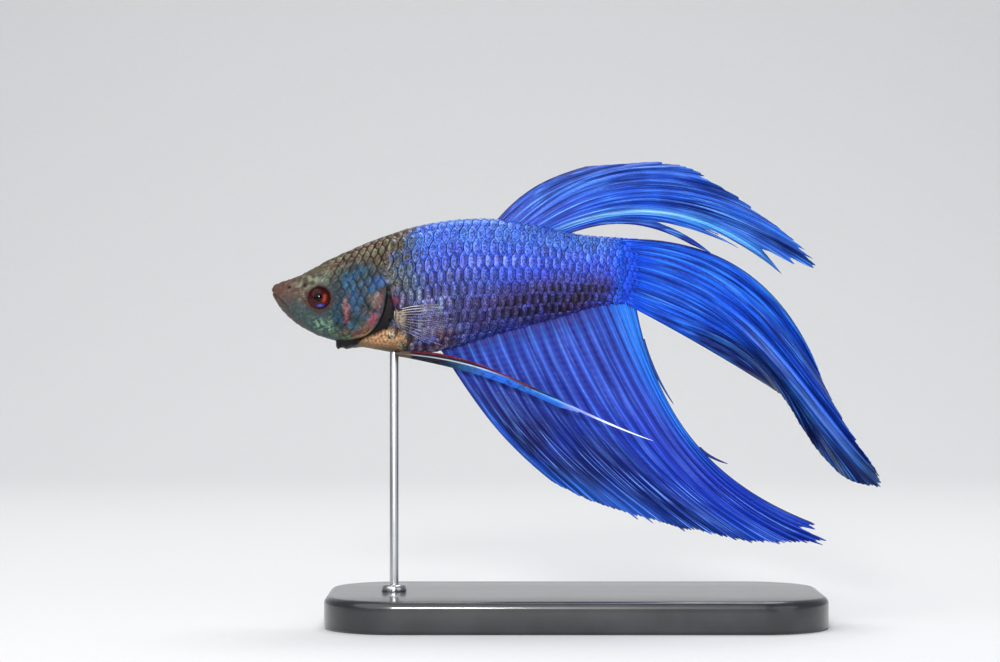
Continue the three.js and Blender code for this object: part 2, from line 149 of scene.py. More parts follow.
def smooth_line(places, steps=40):
    """Points of a smooth line through the places, evenly stepped over its chord length."""
    places = np.asarray(places, float)
    chords = np.concatenate([[0], np.cumsum(np.linalg.norm(np.diff(places, axis=0), axis=1))])
    return through(np.column_stack([chords, places]), np.linspace(0, chords[-1], steps))


def line_distance(back, up, line):
    """Distance to a line, positive on its left as it runs (behind it, for a line that runs down), and
    the share of the line's length at which it is nearest."""
    start, run = line[:-1], np.diff(line, axis=0)
    best = np.full(back.shape, np.inf)
    signed, share = np.zeros(back.shape), np.zeros(back.shape)
    for i, ((x0, z0), (dx, dz)) in enumerate(zip(start, run, strict=True)):
        x, z = back - x0, up - z0
        t = np.clip((x * dx + z * dz) / (dx * dx + dz * dz), 0, 1)
        gap = np.hypot(x - t * dx, z - t * dz)
        nearer = gap < best
        best = np.where(nearer, gap, best)
        signed = np.where(nearer, gap * np.where(dx * z - dz * x >= 0, 1, -1), signed)
        share = np.where(nearer, (i + t) / len(run), share)
    return signed, share


def ripple(points, size, seed, waves=14):
    """Smooth random values of about -1 to 1: a sum of plane waves about `size` long."""
    rng = np.random.default_rng(seed)
    total = np.zeros(points.shape[:-1])
    for _ in range(waves):
        way = rng.normal(size=3)
        way *= TAU / (size * rng.uniform(0.7, 1.6) * np.linalg.norm(way))
        total += np.cos(points @ way + rng.uniform(0, TAU))
    return np.clip(total / np.sqrt(waves / 2) / 1.6, -1, 1)


def linear(red, green, blue):
    """A display colour of 0 to 255 as scene-linear values."""
    c = np.array([red, green, blue], float) / 255
    return np.where(c <= 0.04045, c / 12.92, ((c + 0.055) / 1.055) ** 2.4)


def paint(start, coats):
    """The start colour with each coat (colour, weight) laid over the ones before."""
    shape = np.broadcast_shapes(*[np.shape(weight) for _, weight in coats])
    made = np.broadcast_to(linear(*start), shape + (3,)).copy()
    for colour, weight in coats:
        share = np.clip(np.broadcast_to(weight, shape), 0, 1)[..., None]
        made += (linear(*colour) - made) * share
    return made


# ---- Meshes ----
def grid_quads(rows, columns, wrap=False):
    """Quads over a grid of rows x columns points; wrap closes each row."""
    i = np.arange(rows - 1)[:, None]
    j = np.arange(columns if wrap else columns - 1)[None, :]
    k = (j + 1) % columns
    below = (i + 1) * columns
    return together(i * columns + j, i * columns + k, below + k, below + j).reshape(-1, 4)


def fan(ring, pole, turned):
    """Triangles from each side of a ring of indices to a pole."""
    ring = np.asarray(ring)
    after = np.roll(ring, -1)
    sides = (after, ring) if turned else (ring, after)
    return np.column_stack([*sides, np.full(len(ring), pole)])


def barrel_faces(rings, sides):
    """A closed body of rings: quads between them, and a fan at each end to its pole. The first pole's
    point follows the last ring, and the other one comes after it."""
    first = np.arange(sides)
    pole = rings * sides
    last = pole - sides + first
    return [grid_quads(rings, sides, wrap=True), fan(first, pole, True), fan(last, pole + 1, False)]


def sheet_faces(rows, columns):
    """A closed sheet: quads over a front grid, over the back grid that follows it, and round the edge."""
    count = rows * columns
    front = grid_quads(rows, columns)
    grid = np.arange(count).reshape(rows, columns)
    edge = np.concatenate([grid[0, :-1], grid[:-1, -1], grid[-1, :0:-1], grid[:0:-1, 0]])
    after = np.roll(edge, -1)
    wall = np.column_stack([after, edge, edge + count, after + count])
    return np.concatenate([front, front[:, ::-1] + count, wall])


def place_mesh(name, points, faces, material, nodes=(), corner_maps=None, point_maps=None,
               colours=None):
    """A finished piece from points in millimetres and a list of face arrays. Corner maps hold a UV pair
    for each face corner, point maps one for each point, and colours is the tint of each point."""
    mesh = bpy.data.meshes.new(name)
    loops = np.concatenate([f.ravel() for f in faces]).astype(np.int32)
    sizes = np.concatenate([np.full(len(f), f.shape[1]) for f in faces])
    mesh.vertices.add(len(points))
    mesh.vertices.foreach_set("co", (np.asarray(points) * MM).astype(np.float32).ravel())
    mesh.loops.add(len(loops))
    mesh.loops.foreach_set("vertex_index", loops)
    mesh.polygons.add(len(sizes))
    mesh.polygons.foreach_set("loop_start", (np.cumsum(sizes) - sizes).astype(np.int32))
    mesh.polygons.foreach_set("use_smooth", np.ones(len(sizes), bool))
    mesh.update(calc_edges=True)
    maps = {**(corner_maps or {}), **{k: uv[loops] for k, uv in (point_maps or {}).items()}}
    for map_name, uv in maps.items():
        mesh.uv_layers.new(name=map_name).data.foreach_set("uv", uv.astype(np.float32).ravel())
    if colours is not None:
        tint = mesh.color_attributes.new("tint", "FLOAT_COLOR", "POINT")
        alpha = np.ones((len(colours), 4 - colours.shape[1]))
        tint.data.foreach_set("color", np.hstack([colours, alpha]).astype(np.float32).ravel())
    mesh.validate()
    mesh.materials.append(material)
    piece = bpy.data.objects.new(name, mesh)
    bpy.context.scene.collection.objects.link(piece)
    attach(piece, "root")
    if nodes:
        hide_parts(*nodes)
    return piece


# ---- Shader nodes ----
def node(tree, kind, settings=None, inputs=None):
    """A shader node with its settings, and its inputs by name or number: values or other sockets."""
    made = tree.nodes.new("ShaderNode" + kind)
    for key, value in (settings or {}).items():
        setattr(made, key, value)
    for key, value in (inputs or {}).items():
        if isinstance(value, bpy.types.NodeSocket):
            tree.links.new(value, made.inputs[key])
        else:
            made.inputs[key].default_value = value
    return made


def math(tree, operation, *values):
    """One step of arithmetic on sockets or plain numbers."""
    return node(tree, "Math", {"operation": operation}, dict(enumerate(values))).outputs[0]


def times(tree, product, *others):
    """The product of all the values, taken in order."""
    for value in others:
        product = math(tree, "MULTIPLY", product, value)
    return product


def plus(tree, first, second):
    """The sum of two values."""
    return math(tree, "ADD", first, second)


def minus(tree, first, second):
    """The first value less the second."""
    return math(tree, "SUBTRACT", first, second)


def fade(tree, value, low, high, bottom=0.0, top=1.0):
    """The value mapped from low..high to bottom..top along a smooth S, and held outside."""
    settings = {"interpolation_type": "SMOOTHSTEP"}
    inputs = {"Value": value, "From Min": low, "From Max": high, "To Min": bottom, "To Max": top}
    return node(tree, "MapRange", settings, inputs).outputs[0]


def fall(tree, value, low, high):
    """1 up to low, 0 from high on, and a smooth S between them."""
    return fade(tree, value, low, high, 1.0, 0.0)


def mix(tree, share, first, second, way="MIX"):
    """The first colour with a share of the second mixed in."""
    made = node(tree, "Mix", {"data_type": "RGBA", "blend_type": way}, {0: share, 6: first, 7: second})
    return made.outputs[2]


def rgba(*colour):
    """A display colour of 0 to 255 for a colour socket."""
    return (*linear(*colour), 1.0)


def noise(tree, vector, scale, detail=2.0, rough=0.5):
    """Smooth random values of about 0.3 to 0.7."""
    inputs = {"Vector": vector, "Scale": scale, "Detail": detail, "Roughness": rough}
    return node(tree, "TexNoise", None, inputs).outputs[0]


def socket_list(tree, way, sockets):
    """A group's inputs or outputs, each (name, kind, value)."""
    for name, kind, value in sockets:
        made = tree.interface.new_socket(name, in_out=way, socket_type="NodeSocket" + kind)
        if value is not None:
            made.default_value = value


def group(name, inputs, outputs, build):
    """A shader node group: inputs and outputs are (name, kind, value), and build gets the tree and the
    input sockets by name and gives the output sockets by name."""
    tree = bpy.data.node_groups.new(name, "ShaderNodeTree")
    socket_list(tree, "INPUT", inputs)
    socket_list(tree, "OUTPUT", outputs)
    entry, exit_ = tree.nodes.new("NodeGroupInput"), tree.nodes.new("NodeGroupOutput")
    made = build(tree, {name: entry.outputs[name] for name, _, _ in inputs})
    for key, socket in made.items():
        tree.links.new(socket, exit_.inputs[key])
    return tree


def use(tree, group_tree, inputs):
    """The outputs of a group placed in a tree with its own values."""
    return node(tree, "Group", {"node_tree": group_tree}, inputs).outputs


def brightened(tree, colour, gain):
    """A colour with its three parts multiplied by the same gain."""
    grey = node(tree, "CombineColor", None, {0: gain, 1: gain, 2: gain}).outputs[0]
    return mix(tree, 1.0, colour, grey, "MULTIPLY")


def build_mottle(tree, s):
    """Living skin's unevenness: broad clouds and fine grains that lighten and darken a colour."""
    cloud = noise(tree, s["Place"], s["Cloud Scale"])
    grain = noise(tree, s["Place"], s["Grain Scale"], 4.0, 0.65)
    both = plus(tree, times(tree, cloud, 0.55), times(tree, grain, 0.45))
    spread = times(tree, minus(tree, both, 0.5), s["Strength"])
    return {"Color": brightened(tree, s["Color"], plus(tree, spread, 1.0)), "Grain": grain}


def build_scale_net(tree, s):
    """One scale's own marks from its map, root 0 to free edge 1 along and -1 to 1 across. The part that
    shows is a tall pointed cell of bright colour within a dark net. Low on the flank the cell narrows
    to an upright streak. A rim, which the material lights with a painted sheen, runs round the cell,
    and fine growth ridges follow its edge."""
    side = math(tree, "ABSOLUTE", s["Across"])
    point = math(tree, "POWER", side, 2.4)
    front = plus(tree, times(tree, point, 0.72), s["Front"])

    def cell(inset):
        start = plus(tree, front, inset)
        parts = [
            fade(tree, s["Along"], start, plus(tree, start, 0.1)),
            fall(tree, plus(tree, s["Along"], inset), s["Rim"], plus(tree, s["Rim"], 0.04)),
            fall(tree, plus(tree, side, inset), 0.84, 0.98),
        ]
        return times(tree, *parts)

    whole = cell(0.0)
    rim = minus(tree, whole, math(tree, "MINIMUM", whole, cell(0.1)))
    swept = times(tree, math(tree, "POWER", side, 2.0), SCALE_SWEEP)
    upright = times(tree, s["Along"], minus(tree, 1.0, swept))
    away = math(tree, "ABSOLUTE", minus(tree, upright, 0.7))
    streak = times(tree, fall(tree, away, 0.07, 0.17), fall(tree, side, 0.68, 0.92))
    narrowed = times(tree, minus(tree, whole, streak), s["Streak"])
    wave = math(tree, "SINE", times(tree, s["Along"], 60.0))
    return {"Cell": minus(tree, whole, narrowed), "Edge": rim, "Ridge": wave}


def build_fin_rays(tree, s):
    """Branching fin rays from a map that counts rays across: each ray's middle parts into two and then
    four as it runs out. Also the gaps between whole rays, fine cross bands, as in jointed rays, broad
    and fine streaks, and a random value of each ray's own."""
    cell = minus(tree, math(tree, "FRACT", s["Across"]), 0.5)
    first = fade(tree, s["Along"], s["First Fork"], plus(tree, s["First Fork"], 0.35), 0.0, 0.25)
    second = fade(tree, s["Along"], s["Second Fork"], plus(tree, s["Second Fork"], 0.3), 0.0, 0.125)
    from_first = math(tree, "ABSOLUTE", minus(tree, math(tree, "ABSOLUTE", cell), first))
    distance = math(tree, "ABSOLUTE", minus(tree, from_first, second))
    ray = fall(tree, distance, 0.0, s["Ray Width"])
    joint = math(tree, "SINE", times(tree, s["Along"], s["Joints"]))
    gap = fade(tree, math(tree, "ABSOLUTE", cell), 0.3, 0.46)
    own = times(tree, math(tree, "FLOOR", s["Across"]), 7.3)
    made = {"Ray": ray, "Gap": gap, "Joint": joint}
    for name, at, stretch, detail in (("Streak", times(tree, s["Across"], 0.6), 1.6, 2.0),
                                      ("Fine", times(tree, s["Across"], 2.0), 2.4, 2.0),
                                      ("Own", own, 2.2, 1.0)):
        place = node(tree, "CombineXYZ", None, {0: at, 1: times(tree, s["Along"], stretch)}).outputs[0]
        made[name] = noise(tree, place, 1.7, detail, 0.6)
    return made


FLOAT, COLOR, PLACE = "Float", "Color", "Vector"
MOTTLE = group(
    "skin_mottle",
    [("Color", COLOR, None), ("Place", PLACE, None), ("Cloud Scale", FLOAT, 400.0),
     ("Grain Scale", FLOAT, 4000.0), ("Strength", FLOAT, 0.6)],
    [("Color", COLOR, None), ("Grain", FLOAT, None)],
    build_mottle,
)
SCALE_NET = group(
    "scale_net",
    [("Along", FLOAT, 0.0), ("Across", FLOAT, 0.0), ("Streak", FLOAT, 0.0), ("Rim", FLOAT, 0.93),
     ("Front", FLOAT, 0.42)],
    [("Cell", FLOAT, None), ("Edge", FLOAT, None), ("Ridge", FLOAT, None)],
    build_scale_net,
)
FIN_RAYS = group(
    "fin_rays",
    [("Across", FLOAT, 0.0), ("Along", FLOAT, 0.0), ("First Fork", FLOAT, 0.15),
     ("Second Fork", FLOAT, 0.5), ("Ray Width", FLOAT, 0.2), ("Joints", FLOAT, 260.0)],
    [(name, FLOAT, None) for name in ("Ray", "Gap", "Joint", "Streak", "Fine", "Own")],
    build_fin_rays,
)


def new_material(name, settings):
    """A material with a Principled BSDF that has those plain settings."""
    material = bpy.data.materials.new(name)
    material.use_nodes = True
    tree = material.node_tree
    shader = tree.nodes["Principled BSDF"]
    for key, value in settings.items():
        shader.inputs[key].default_value = value
    return material, tree, shader


def uv_parts(tree, name):
    """The two numbers of a piece's own map."""
    uv = node(tree, "UVMap", {"uv_map": name}).outputs[0]
    parts = node(tree, "SeparateXYZ", None, {0: uv})
    return parts.outputs[0], parts.outputs[1]


def tint_of(tree):
    """The piece's own colours, and the alpha beside them."""
    tint = node(tree, "Attribute", {"attribute_name": "tint"})
    return tint.outputs["Color"], tint.outputs["Alpha"]


def place_of(tree):
    """Places on the piece itself."""
    return node(tree, "TexCoord").outputs["Object"]


def mottled(tree, colour, cloud_scale, grain_scale, strength):
    """A colour made uneven as living skin is, and the grain that does it."""
    out = use(tree, MOTTLE, {"Color": colour, "Place": place_of(tree), "Cloud Scale": cloud_scale,
                             "Grain Scale": grain_scale, "Strength": strength})
    return out["Color"], out["Grain"]


def feed(tree, shader, key, socket):
    """A socket joined to one of the shader's inputs."""
    tree.links.new(socket, shader.inputs[key])


def add_bump(tree, shader, height, distance, strength=1.0):
    """Relief too fine for the mesh, its distance in metres."""
    made = node(tree, "Bump", None, {"Height": height, "Distance": distance, "Strength": strength})
    feed(tree, shader, "Normal", made.outputs[0])


# ---- Materials ----
def skin_material():
    """Bare skin: the tint with clouds and grains, pores as bump, and a wet gloss."""
    material, tree, shader = new_material("wet_skin", {
        "Roughness": 0.5, "Specular IOR Level": 0.18, "Coat Weight": 0.04, "Coat Roughness": 0.2})
    base, grain = mottled(tree, tint_of(tree)[0], 1500.0, 6000.0, 1.1)
    feed(tree, shader, "Base Color", base)
    pores = node(tree, "TexVoronoi", None, {"Vector": place_of(tree), "Scale": 5200.0})
    height = plus(tree, pores.outputs["Distance"], grain)
    add_bump(tree, shader, height, 0.00004, 0.6)
    return material


def scale_material(name, metallic, net_colour, net_share, sheen_colour, speck_and_sheen_share, faint=False,
                   rim=0.95, front=0.35):
    """A coat of scales: each scale's tint within a dark net, with dark specks, a painted sheen on a thin
    bright rim and in bright sparkles, and growth ridges. The tint's alpha narrows the cells to streaks,
    or on a faint net lets the net fade."""
    material, tree, shader = new_material(name, {
        "Roughness": 0.42, "Metallic": metallic, "Specular IOR Level": 0.25, "Coat Weight": 0.06,
        "Coat Roughness": 0.2})
    along, across = uv_parts(tree, "Scale")
    tint, plain = tint_of(tree)
    net = use(tree, SCALE_NET, {"Along": along, "Across": across, "Streak": 0.0 if faint else plain,
                                "Rim": rim, "Front": front})
    place = place_of(tree)
    skin, skin_grain = mottled(tree, tint, 900.0, 3200.0, 2.0)
    # Painted sheen: a pale colour laid over the skin's tint, shown in the sparkles and on the rims.
    rim_sheen = mix(tree, speck_and_sheen_share, skin, sheen_colour, "SOFT_LIGHT")
    grains = noise(tree, place, 4300.0, 1.0)
    deep = mix(tree, fade(tree, grains, 0.49, 0.38, 0.0, 0.6 * speck_and_sheen_share), skin, net_colour, "MULTIPLY")
    bright = mix(tree, fade(tree, grains, 0.51, 0.61, 0.0, speck_and_sheen_share), deep, rim_sheen, "SCREEN")
    drawn = minus(tree, 1.0, plain) if faint else 1.0
    # Each cell's rim lit with the painted sheen as a highlight.
    rims = times(tree, net["Edge"], drawn, speck_and_sheen_share)
    lit = mix(tree, rims, bright, rim_sheen, "SCREEN")
    uneven = fade(tree, noise(tree, place, 420.0), 0.36, 0.6, 0.72, 1.0)
    dark = mix(tree, times(tree, uneven, drawn, net_share), skin, net_colour, "MULTIPLY")
    feed(tree, shader, "Base Color", mix(tree, net["Cell"], dark, lit))
    height = plus(tree, times(tree, net["Ridge"], 0.18), skin_grain)
    add_bump(tree, shader, height, 0.00002, 0.7)
    return material


def fin_material(name, forks, width, ray_light, web_dark, gaps, threads, wisps, joints=260.0):
    """Veil fin: the tint darkened and brightened in broad bands as painted shade and shine, with dark
    lines in the gaps between rays, pale threads along a few rays where the tint's alpha allows them,
    fine streaks and the sheen of foil."""
    material, tree, shader = new_material(name, {
        "Roughness": 0.42, "Metallic": 0.35, "Specular IOR Level": 0.25})
    across, along = uv_parts(tree, "Rays")
    rays = use(tree, FIN_RAYS, {"Across": across, "Along": along, "First Fork": forks[0],
                                "Second Fork": forks[1], "Ray Width": width, "Joints": joints})
    tint, threaded_share = tint_of(tree)
    shade = mix(tree, fade(tree, rays["Streak"], 0.52, 0.36, 0.0, wisps), tint, web_dark)
    shine = mix(tree, fade(tree, rays["Streak"], 0.56, 0.72, 0.0, 0.6 * wisps), shade, ray_light)
    webs = mix(tree, times(tree, minus(tree, 1.0, rays["Ray"]), 0.25), shine, web_dark)
    dark_share = times(tree, rays["Gap"], fade(tree, rays["Fine"], 0.34, 0.6, gaps, gaps * 0.35))
    lined = mix(tree, dark_share, webs, web_dark)
    chosen = times(tree, fade(tree, rays["Own"], 0.5, 0.62, 0.12, 1.0), threaded_share)
    thread = times(tree, fade(tree, rays["Ray"], 0.35, 1.0), times(tree, chosen, threads))
    threaded = mix(tree, thread, lined, ray_light)
    dark_hairs = mix(tree, fade(tree, rays["Fine"], 0.46, 0.34, 0.0, 0.6 * wisps), threaded, web_dark)
    base = mix(tree, fade(tree, rays["Fine"], 0.54, 0.68, 0.0, 0.6 * wisps), dark_hairs, ray_light)
    feed(tree, shader, "Base Color", mottled(tree, base, 500.0, 5000.0, 0.5)[0])
    ridge = plus(tree, rays["Ray"], times(tree, rays["Fine"], 0.8))
    height = plus(tree, ridge, times(tree, rays["Joint"], 0.12))
    add_bump(tree, shader, height, 0.00006, 0.8)
    return material


def clear_fin_material():
    """Pectoral fin: pale jointed rays in a web that is mostly clear."""
    material, tree, shader = new_material("clear_fin", {"Roughness": 0.3, "Coat Weight": 0.3})
    across, along = uv_parts(tree, "Rays")
    rays = use(tree, FIN_RAYS, {"Across": across, "Along": along, "First Fork": 0.35,
                                "Second Fork": 2.0, "Ray Width": 0.15, "Joints": 150.0})
    joint = fade(tree, rays["Joint"], -0.6, 0.2)
    ray = times(tree, rays["Ray"], plus(tree, times(tree, joint, 0.25), 0.75))
    leading = times(tree, fall(tree, across, 1.6, 4.0), fade(tree, along, 0.3, 0.7, 1.0, 0.5))
    pale = mix(tree, leading, rgba(160, 152, 176), rgba(246, 244, 236))
    feed(tree, shader, "Base Color", mix(tree, ray, tint_of(tree)[0], pale))
    root = fall(tree, along, 0.01, 0.08)
    patchy = math(tree, "MAXIMUM", fade(tree, rays["Streak"], 0.36, 0.6, 0.4, 1.0), leading)
    strength = math(tree, "MAXIMUM", fade(tree, along, 0.1, 0.95, 0.95, 0.5), leading)
    shown = math(tree, "MAXIMUM", times(tree, ray, patchy, strength), root)
    feed(tree, shader, "Alpha", math(tree, "MAXIMUM", shown, 0.06))
    add_bump(tree, shader, rays["Ray"], 0.00005, 0.8)
    return material


def ribbon_material():
    """Pelvic fin: the tint, with fine lengthwise rays."""
    material, tree, shader = new_material("pelvic_ribbon", {
        "Roughness": 0.45, "Specular IOR Level": 0.2, "Coat Weight": 0.05})
    across, _ = uv_parts(tree, "Rays")
    lines = math(tree, "SINE", times(tree, across, 40.0))
    tint, _ = tint_of(tree)
    base = mix(tree, fade(tree, lines, -0.2, 0.9, 0.0, 0.35), tint, rgba(235, 240, 245), "SOFT_LIGHT")
    feed(tree, shader, "Base Color", mottled(tree, base, 800.0, 4500.0, 0.8)[0])
    add_bump(tree, shader, lines, 0.00004, 0.6)
    return material


def eye_material():
    """The eye under its clear cornea: the tint with fine spokes in the iris."""
    material, tree, shader = new_material("eye_glaze", {
        "Roughness": 0.5, "Specular IOR Level": 0.0, "Coat Weight": 1.0, "Coat Roughness": 0.02,
        "Coat IOR": 1.26})
    around, out = uv_parts(tree, "Iris")
    spoke_place = node(tree, "CombineXYZ", None, {
        0: times(tree, around, 90.0), 1: times(tree, out, 4.0)}).outputs[0]
    spokes = noise(tree, spoke_place, 1.0, 3.0, 0.6)
    base = brightened(tree, tint_of(tree)[0], fade(tree, spokes, 0.34, 0.68, 0.4, 1.5))
    feed(tree, shader, "Base Color", base)
    return material


def plate_material():
    """Black acrylic of the stand: faint haze and hairline scratches in its polish."""
    material, tree, shader = new_material("stand_acrylic", {"Coat Weight": 0.6, "Coat Roughness": 0.08})
    place = place_of(tree)
    haze = noise(tree, place, 180.0, 4.0, 0.6)
    stretched = node(tree, "Mapping", None, {0: place, 3: (60.0, 2400.0, 60.0)}).outputs[0]
    hairs = noise(tree, stretched, 1.0, 3.0, 0.7)
    base = mix(tree, fade(tree, haze, 0.35, 0.7), rgba(26, 28, 31), rgba(40, 42, 46))
    feed(tree, shader, "Base Color", base)
    feed(tree, shader, "Roughness", fade(tree, hairs, 0.3, 0.75, 0.3, 0.35))
    add_bump(tree, shader, haze, 0.00001, 0.1)
    return material


def steel_material():
    """Rod of stainless steel, brushed round and lightly clouded."""
    material, tree, shader = new_material("stand_steel", {"Metallic": 1.0})
    place = place_of(tree)
    stretched = node(tree, "Mapping", None, {0: place, 3: (3000.0, 3000.0, 40.0)}).outputs[0]
    brush = noise(tree, stretched, 1.0, 3.0, 0.6)
    base = mix(tree, brush, rgba(168, 170, 174), rgba(214, 216, 219))
    feed(tree, shader, "Base Color", base)
    feed(tree, shader, "Roughness", fade(tree, brush, 0.25, 0.8, 0.2, 0.36))
    add_bump(tree, shader, brush, 0.00001, 0.4)
    return material


# ---- The body's surface ----
def body_measure(knots, back):
    """The body's measures run over the square root of the distance, which rounds the snout."""
    return through([(np.sqrt(a), value) for a, value in knots], np.sqrt(np.maximum(back, 0)))


def body_at_turn(back, turn):
    """A place on the smooth body: its section is a superellipse whose turn is 0 at the back and half a
    circle at the belly, positive on the fish's left."""
    top, bottom, half = (body_measure(knots, back) for knots in (BACK, BELLY, HALF_WIDTH))
    widest = bottom + (top - bottom) * through(WIDEST, back)
    rise = np.sign(np.cos(turn)) * np.abs(np.cos(turn)) ** (2 / SECTION_POWER)
    side = np.sign(np.sin(turn)) * np.abs(np.sin(turn)) ** (2 / SECTION_POWER)
    reach = np.where(rise > 0, top - widest, widest - bottom)
    return together(SNOUT_X + back, -half * side, SNOUT_Z + widest + reach * rise)


def girth_tables():
    """For stations evenly spaced over the root of the distance: the half girth, and the turn at each
    share of it, so that shares of the girth are true lengths along the skin."""
    backs = np.linspace(0, np.sqrt(LENGTH), 300) ** 2
    turns = np.linspace(0, np.pi, 361)
    points = body_at_turn(backs[:, None], turns[None, :])
    steps = np.linalg.norm(np.diff(points, axis=1), axis=-1)
    run = np.concatenate([np.zeros((len(backs), 1)), np.cumsum(steps, axis=1)], axis=1)
    shares = np.linspace(0, 1, 201)
    turn_table = [np.interp(shares * r[-1], r, turns) if r[-1] > 0 else shares * np.pi for r in run]
    return run[:, -1], np.array(turn_table)


HALF_GIRTH, TURN_TABLE = girth_tables()


def station(back):
    """Whole and part of the place of a distance in the girth tables."""
    place = np.sqrt(np.clip(back, 0, LENGTH) / LENGTH) * (len(HALF_GIRTH) - 1)
    whole = np.minimum(place.astype(int), len(HALF_GIRTH) - 2)
    return whole, place - whole


def half_girth(back):
    """Length along the skin from the back's ridge to the belly's."""
    i, t = station(np.asarray(back, float))
    return HALF_GIRTH[i] * (1 - t) + HALF_GIRTH[i + 1] * t


def body_at(back, share):
    """A place on the smooth body by its share of the half girth from the back, 0, to the belly, 1,
    positive on the left and negative on the right; past the belly it comes up the other side."""
    back, share = np.broadcast_arrays(np.asarray(back, float), np.asarray(share, float))
    wrapped = (share + 1) % 2 - 1
    i, t = station(back)
    across = np.abs(wrapped) * (TURN_TABLE.shape[1] - 1)
    j = np.minimum(across.astype(int), TURN_TABLE.shape[1] - 2)
    s = across - j
    near = TURN_TABLE[i, j] * (1 - s) + TURN_TABLE[i, j + 1] * s
    far = TURN_TABLE[i + 1, j] * (1 - s) + TURN_TABLE[i + 1, j + 1] * s
    return body_at_turn(back, np.sign(wrapped) * (near * (1 - t) + far * t))


def body_normal(back, share):
    """Outward unit normal of the smooth body, from small steps each way."""
    along = body_at(back + 0.03, share) - body_at(np.maximum(back - 0.03, 0), share)
    across = body_at(back, share + 0.004) - body_at(back, share - 0.004)
    return unit(np.cross(across, along))


def back_and_up(points):
    """Distance behind the snout and height above it."""
    return points[..., 0] - SNOUT_X, points[..., 2] - SNOUT_Z


def middle_plane(back, up):
    """The same place on the fish's middle plane, where ripples are alike for both sides."""
    return np.stack([back, 0 * back, up], -1)


# ---- Forms and markings of the skin ----
GILL_LINE = smooth_line(GILL_EDGE)
MOUTH_LINE = smooth_line(MOUTH, 16)
CHEEK_LINE = smooth_line(CHEEK_EDGE, 24)
THROAT_LINE = smooth_line(THROAT_EDGE, 20)
EYE_BACK = EYE_MIDDLE[0] - SNOUT_X
EYE_UP = EYE_MIDDLE[2] - SNOUT_Z
EYE_RADIUS = 1.5
EYE_DEPTH = 1.12  # half the eye's depth across the fish
CORNEA = 0.06  # how far the cornea bulges past it
SOCKET = (1.16, 1.38)  # radii at the foot and the top of the socket's wall
SOCKET_DEPTH = 1.3
ORBIT = 1.6  # radius of the raised ring round the socket
NOSTRILS = [(2.3, 0.5, 0.2), (4.2, 0.75, 0.24)]  # back, up and radius
THROAT_TOP = -4  # the throat's membrane lies below this height
# Width of the open slit behind the gill cover, over the share of its edge from top to bottom.
SLIT_WIDTH = [(0, 0), (0.18, 0.02), (0.26, 0.3), (0.36, 0.9), (0.46, 1.4), (0.56, 1.4), (0.64, 0.8),
              (0.75, 0.3), (0.84, 0.05), (1, 0)]
FLAP_DROP = 0.85  # how far the throat's membrane hangs at its front
FIN_SHOULDER = (16.3, -3.3)  # fleshy root of the pectoral fin


def gill_slit(back, up):
    """Distance behind the gill cover's edge, and the open slit's width there."""
    behind, share = line_distance(back, up, GILL_LINE)
    return behind, through(SLIT_WIDTH, share)


def throat_flap(back, up, throat):
    """Share of the dark membrane under the gill covers: square in front, run out towards the slit."""
    along = step(8.0, 8.2, back) * (1 - step(8.8, 11.6, back)) ** 0.7
    return along * step(-0.12, 0.12, -throat) * (up < THROAT_TOP)


def relief(back, up):
    """How far the skin stands out of the smooth body, in millimetres: gill cover and its slit, cheek
    edge, mouth and lips, nostrils, orbit and eye socket, the gill membrane and the fin's shoulder."""
    behind, width = gill_slit(back, up)
    cover = 0.14 * step(-2.2, -0.3, behind) * (behind < 0) * step(4.5, 8, back)
    lip = 0.05 * bump(behind + 0.12, 0.2)
    slit = -0.5 * step(0, 0.14, behind) * (1 - step(width, width + 0.35, behind)) * (width > 0.06)
    cheek, _ = line_distance(back, up, CHEEK_LINE)
    ridge = 0.07 * bump(cheek + 0.1, 0.22) - 0.09 * bump(cheek - 0.22, 0.16)
    mouth, along = line_distance(back, up, MOUTH_LINE)
    open_share = 1 - step(0.75, 1, along)
    lips = (0.06 * bump(np.abs(mouth) - 0.3, 0.2) - 0.13 * bump(mouth, 0.09)) * open_share
    jaw_hinge = -0.06 * oval(back, up, (3.2, -2.6), (0.9, 0.35), 0.9, -50)
    holes = [(np.hypot(back - x, up - z), radius) for x, z, radius in NOSTRILS]
    nostrils = sum(0.07 * bump(gap - 1.25 * r, 0.1) - 0.22 * bump(gap, r) for gap, r in holes)
    out = np.hypot(back - EYE_BACK, up - EYE_UP)
    orbit = 0.12 * bump(out - ORBIT, 0.17) - SOCKET_DEPTH * (1 - step(*SOCKET, out))
    brow = 0.08 * oval(back, up, (EYE_BACK, EYE_UP + 2.0), (1.6, 0.45), 0.8)
    throat, _ = line_distance(back, up, THROAT_LINE)
    folds = 0.06 * np.sin(6.5 * back + 2.5 * up)
    membrane = (FLAP_DROP + folds) * throat_flap(back, up, throat)
    grain = 0.035 * ripple(middle_plane(back, up), 0.55, 8)
    rough = grain * (1 - step(10, 15, back)) * step(0.3, 1.2, back)
    shoulder = 0.42 * oval(back, up, FIN_SHOULDER, (0.8, 1.5), 0.7, 12)
    hard = cover + lip + slit + ridge + lips + jaw_hinge + nostrils + orbit
    return hard + brow + membrane + shoulder + rough


def coat_depth(back):
    """How deep the skin lies inside the solids: less on the head, whose scales are smaller."""
    return HEAD_COAT + (SCALE_COAT - HEAD_COAT) * step(8, 14, back)


def on_skin(back, share, lift=0.0):
    """A place on the finished skin, raised by `lift`, with the normal of the smooth body there."""
    point, normal = body_at(back, share), body_normal(back, share)
    out = relief(*back_and_up(point)) - coat_depth(back) + lift
    return point + normal * out[..., None], normal


def head_share(back, up):
    """1 on the head and 0 on the body, over the soft uneven line where the colours change. It runs
    further back along the ridge."""
    line = 14.8 + 0.3 * np.maximum(up - 2, 0) + 1.6 * step(6.2, 8.6, up)
    uneven = 0.9 * ripple(middle_plane(back, up), 2.4, 12)
    return 1 - step(-0.7, 0.9, back - (line + uneven))


def breast_share(back, up):
    """1 on the bare mottled breast between throat and pectoral fin."""
    return oval(back, up, (14.2, -6.5), (3.4, 1.8), 0.4)


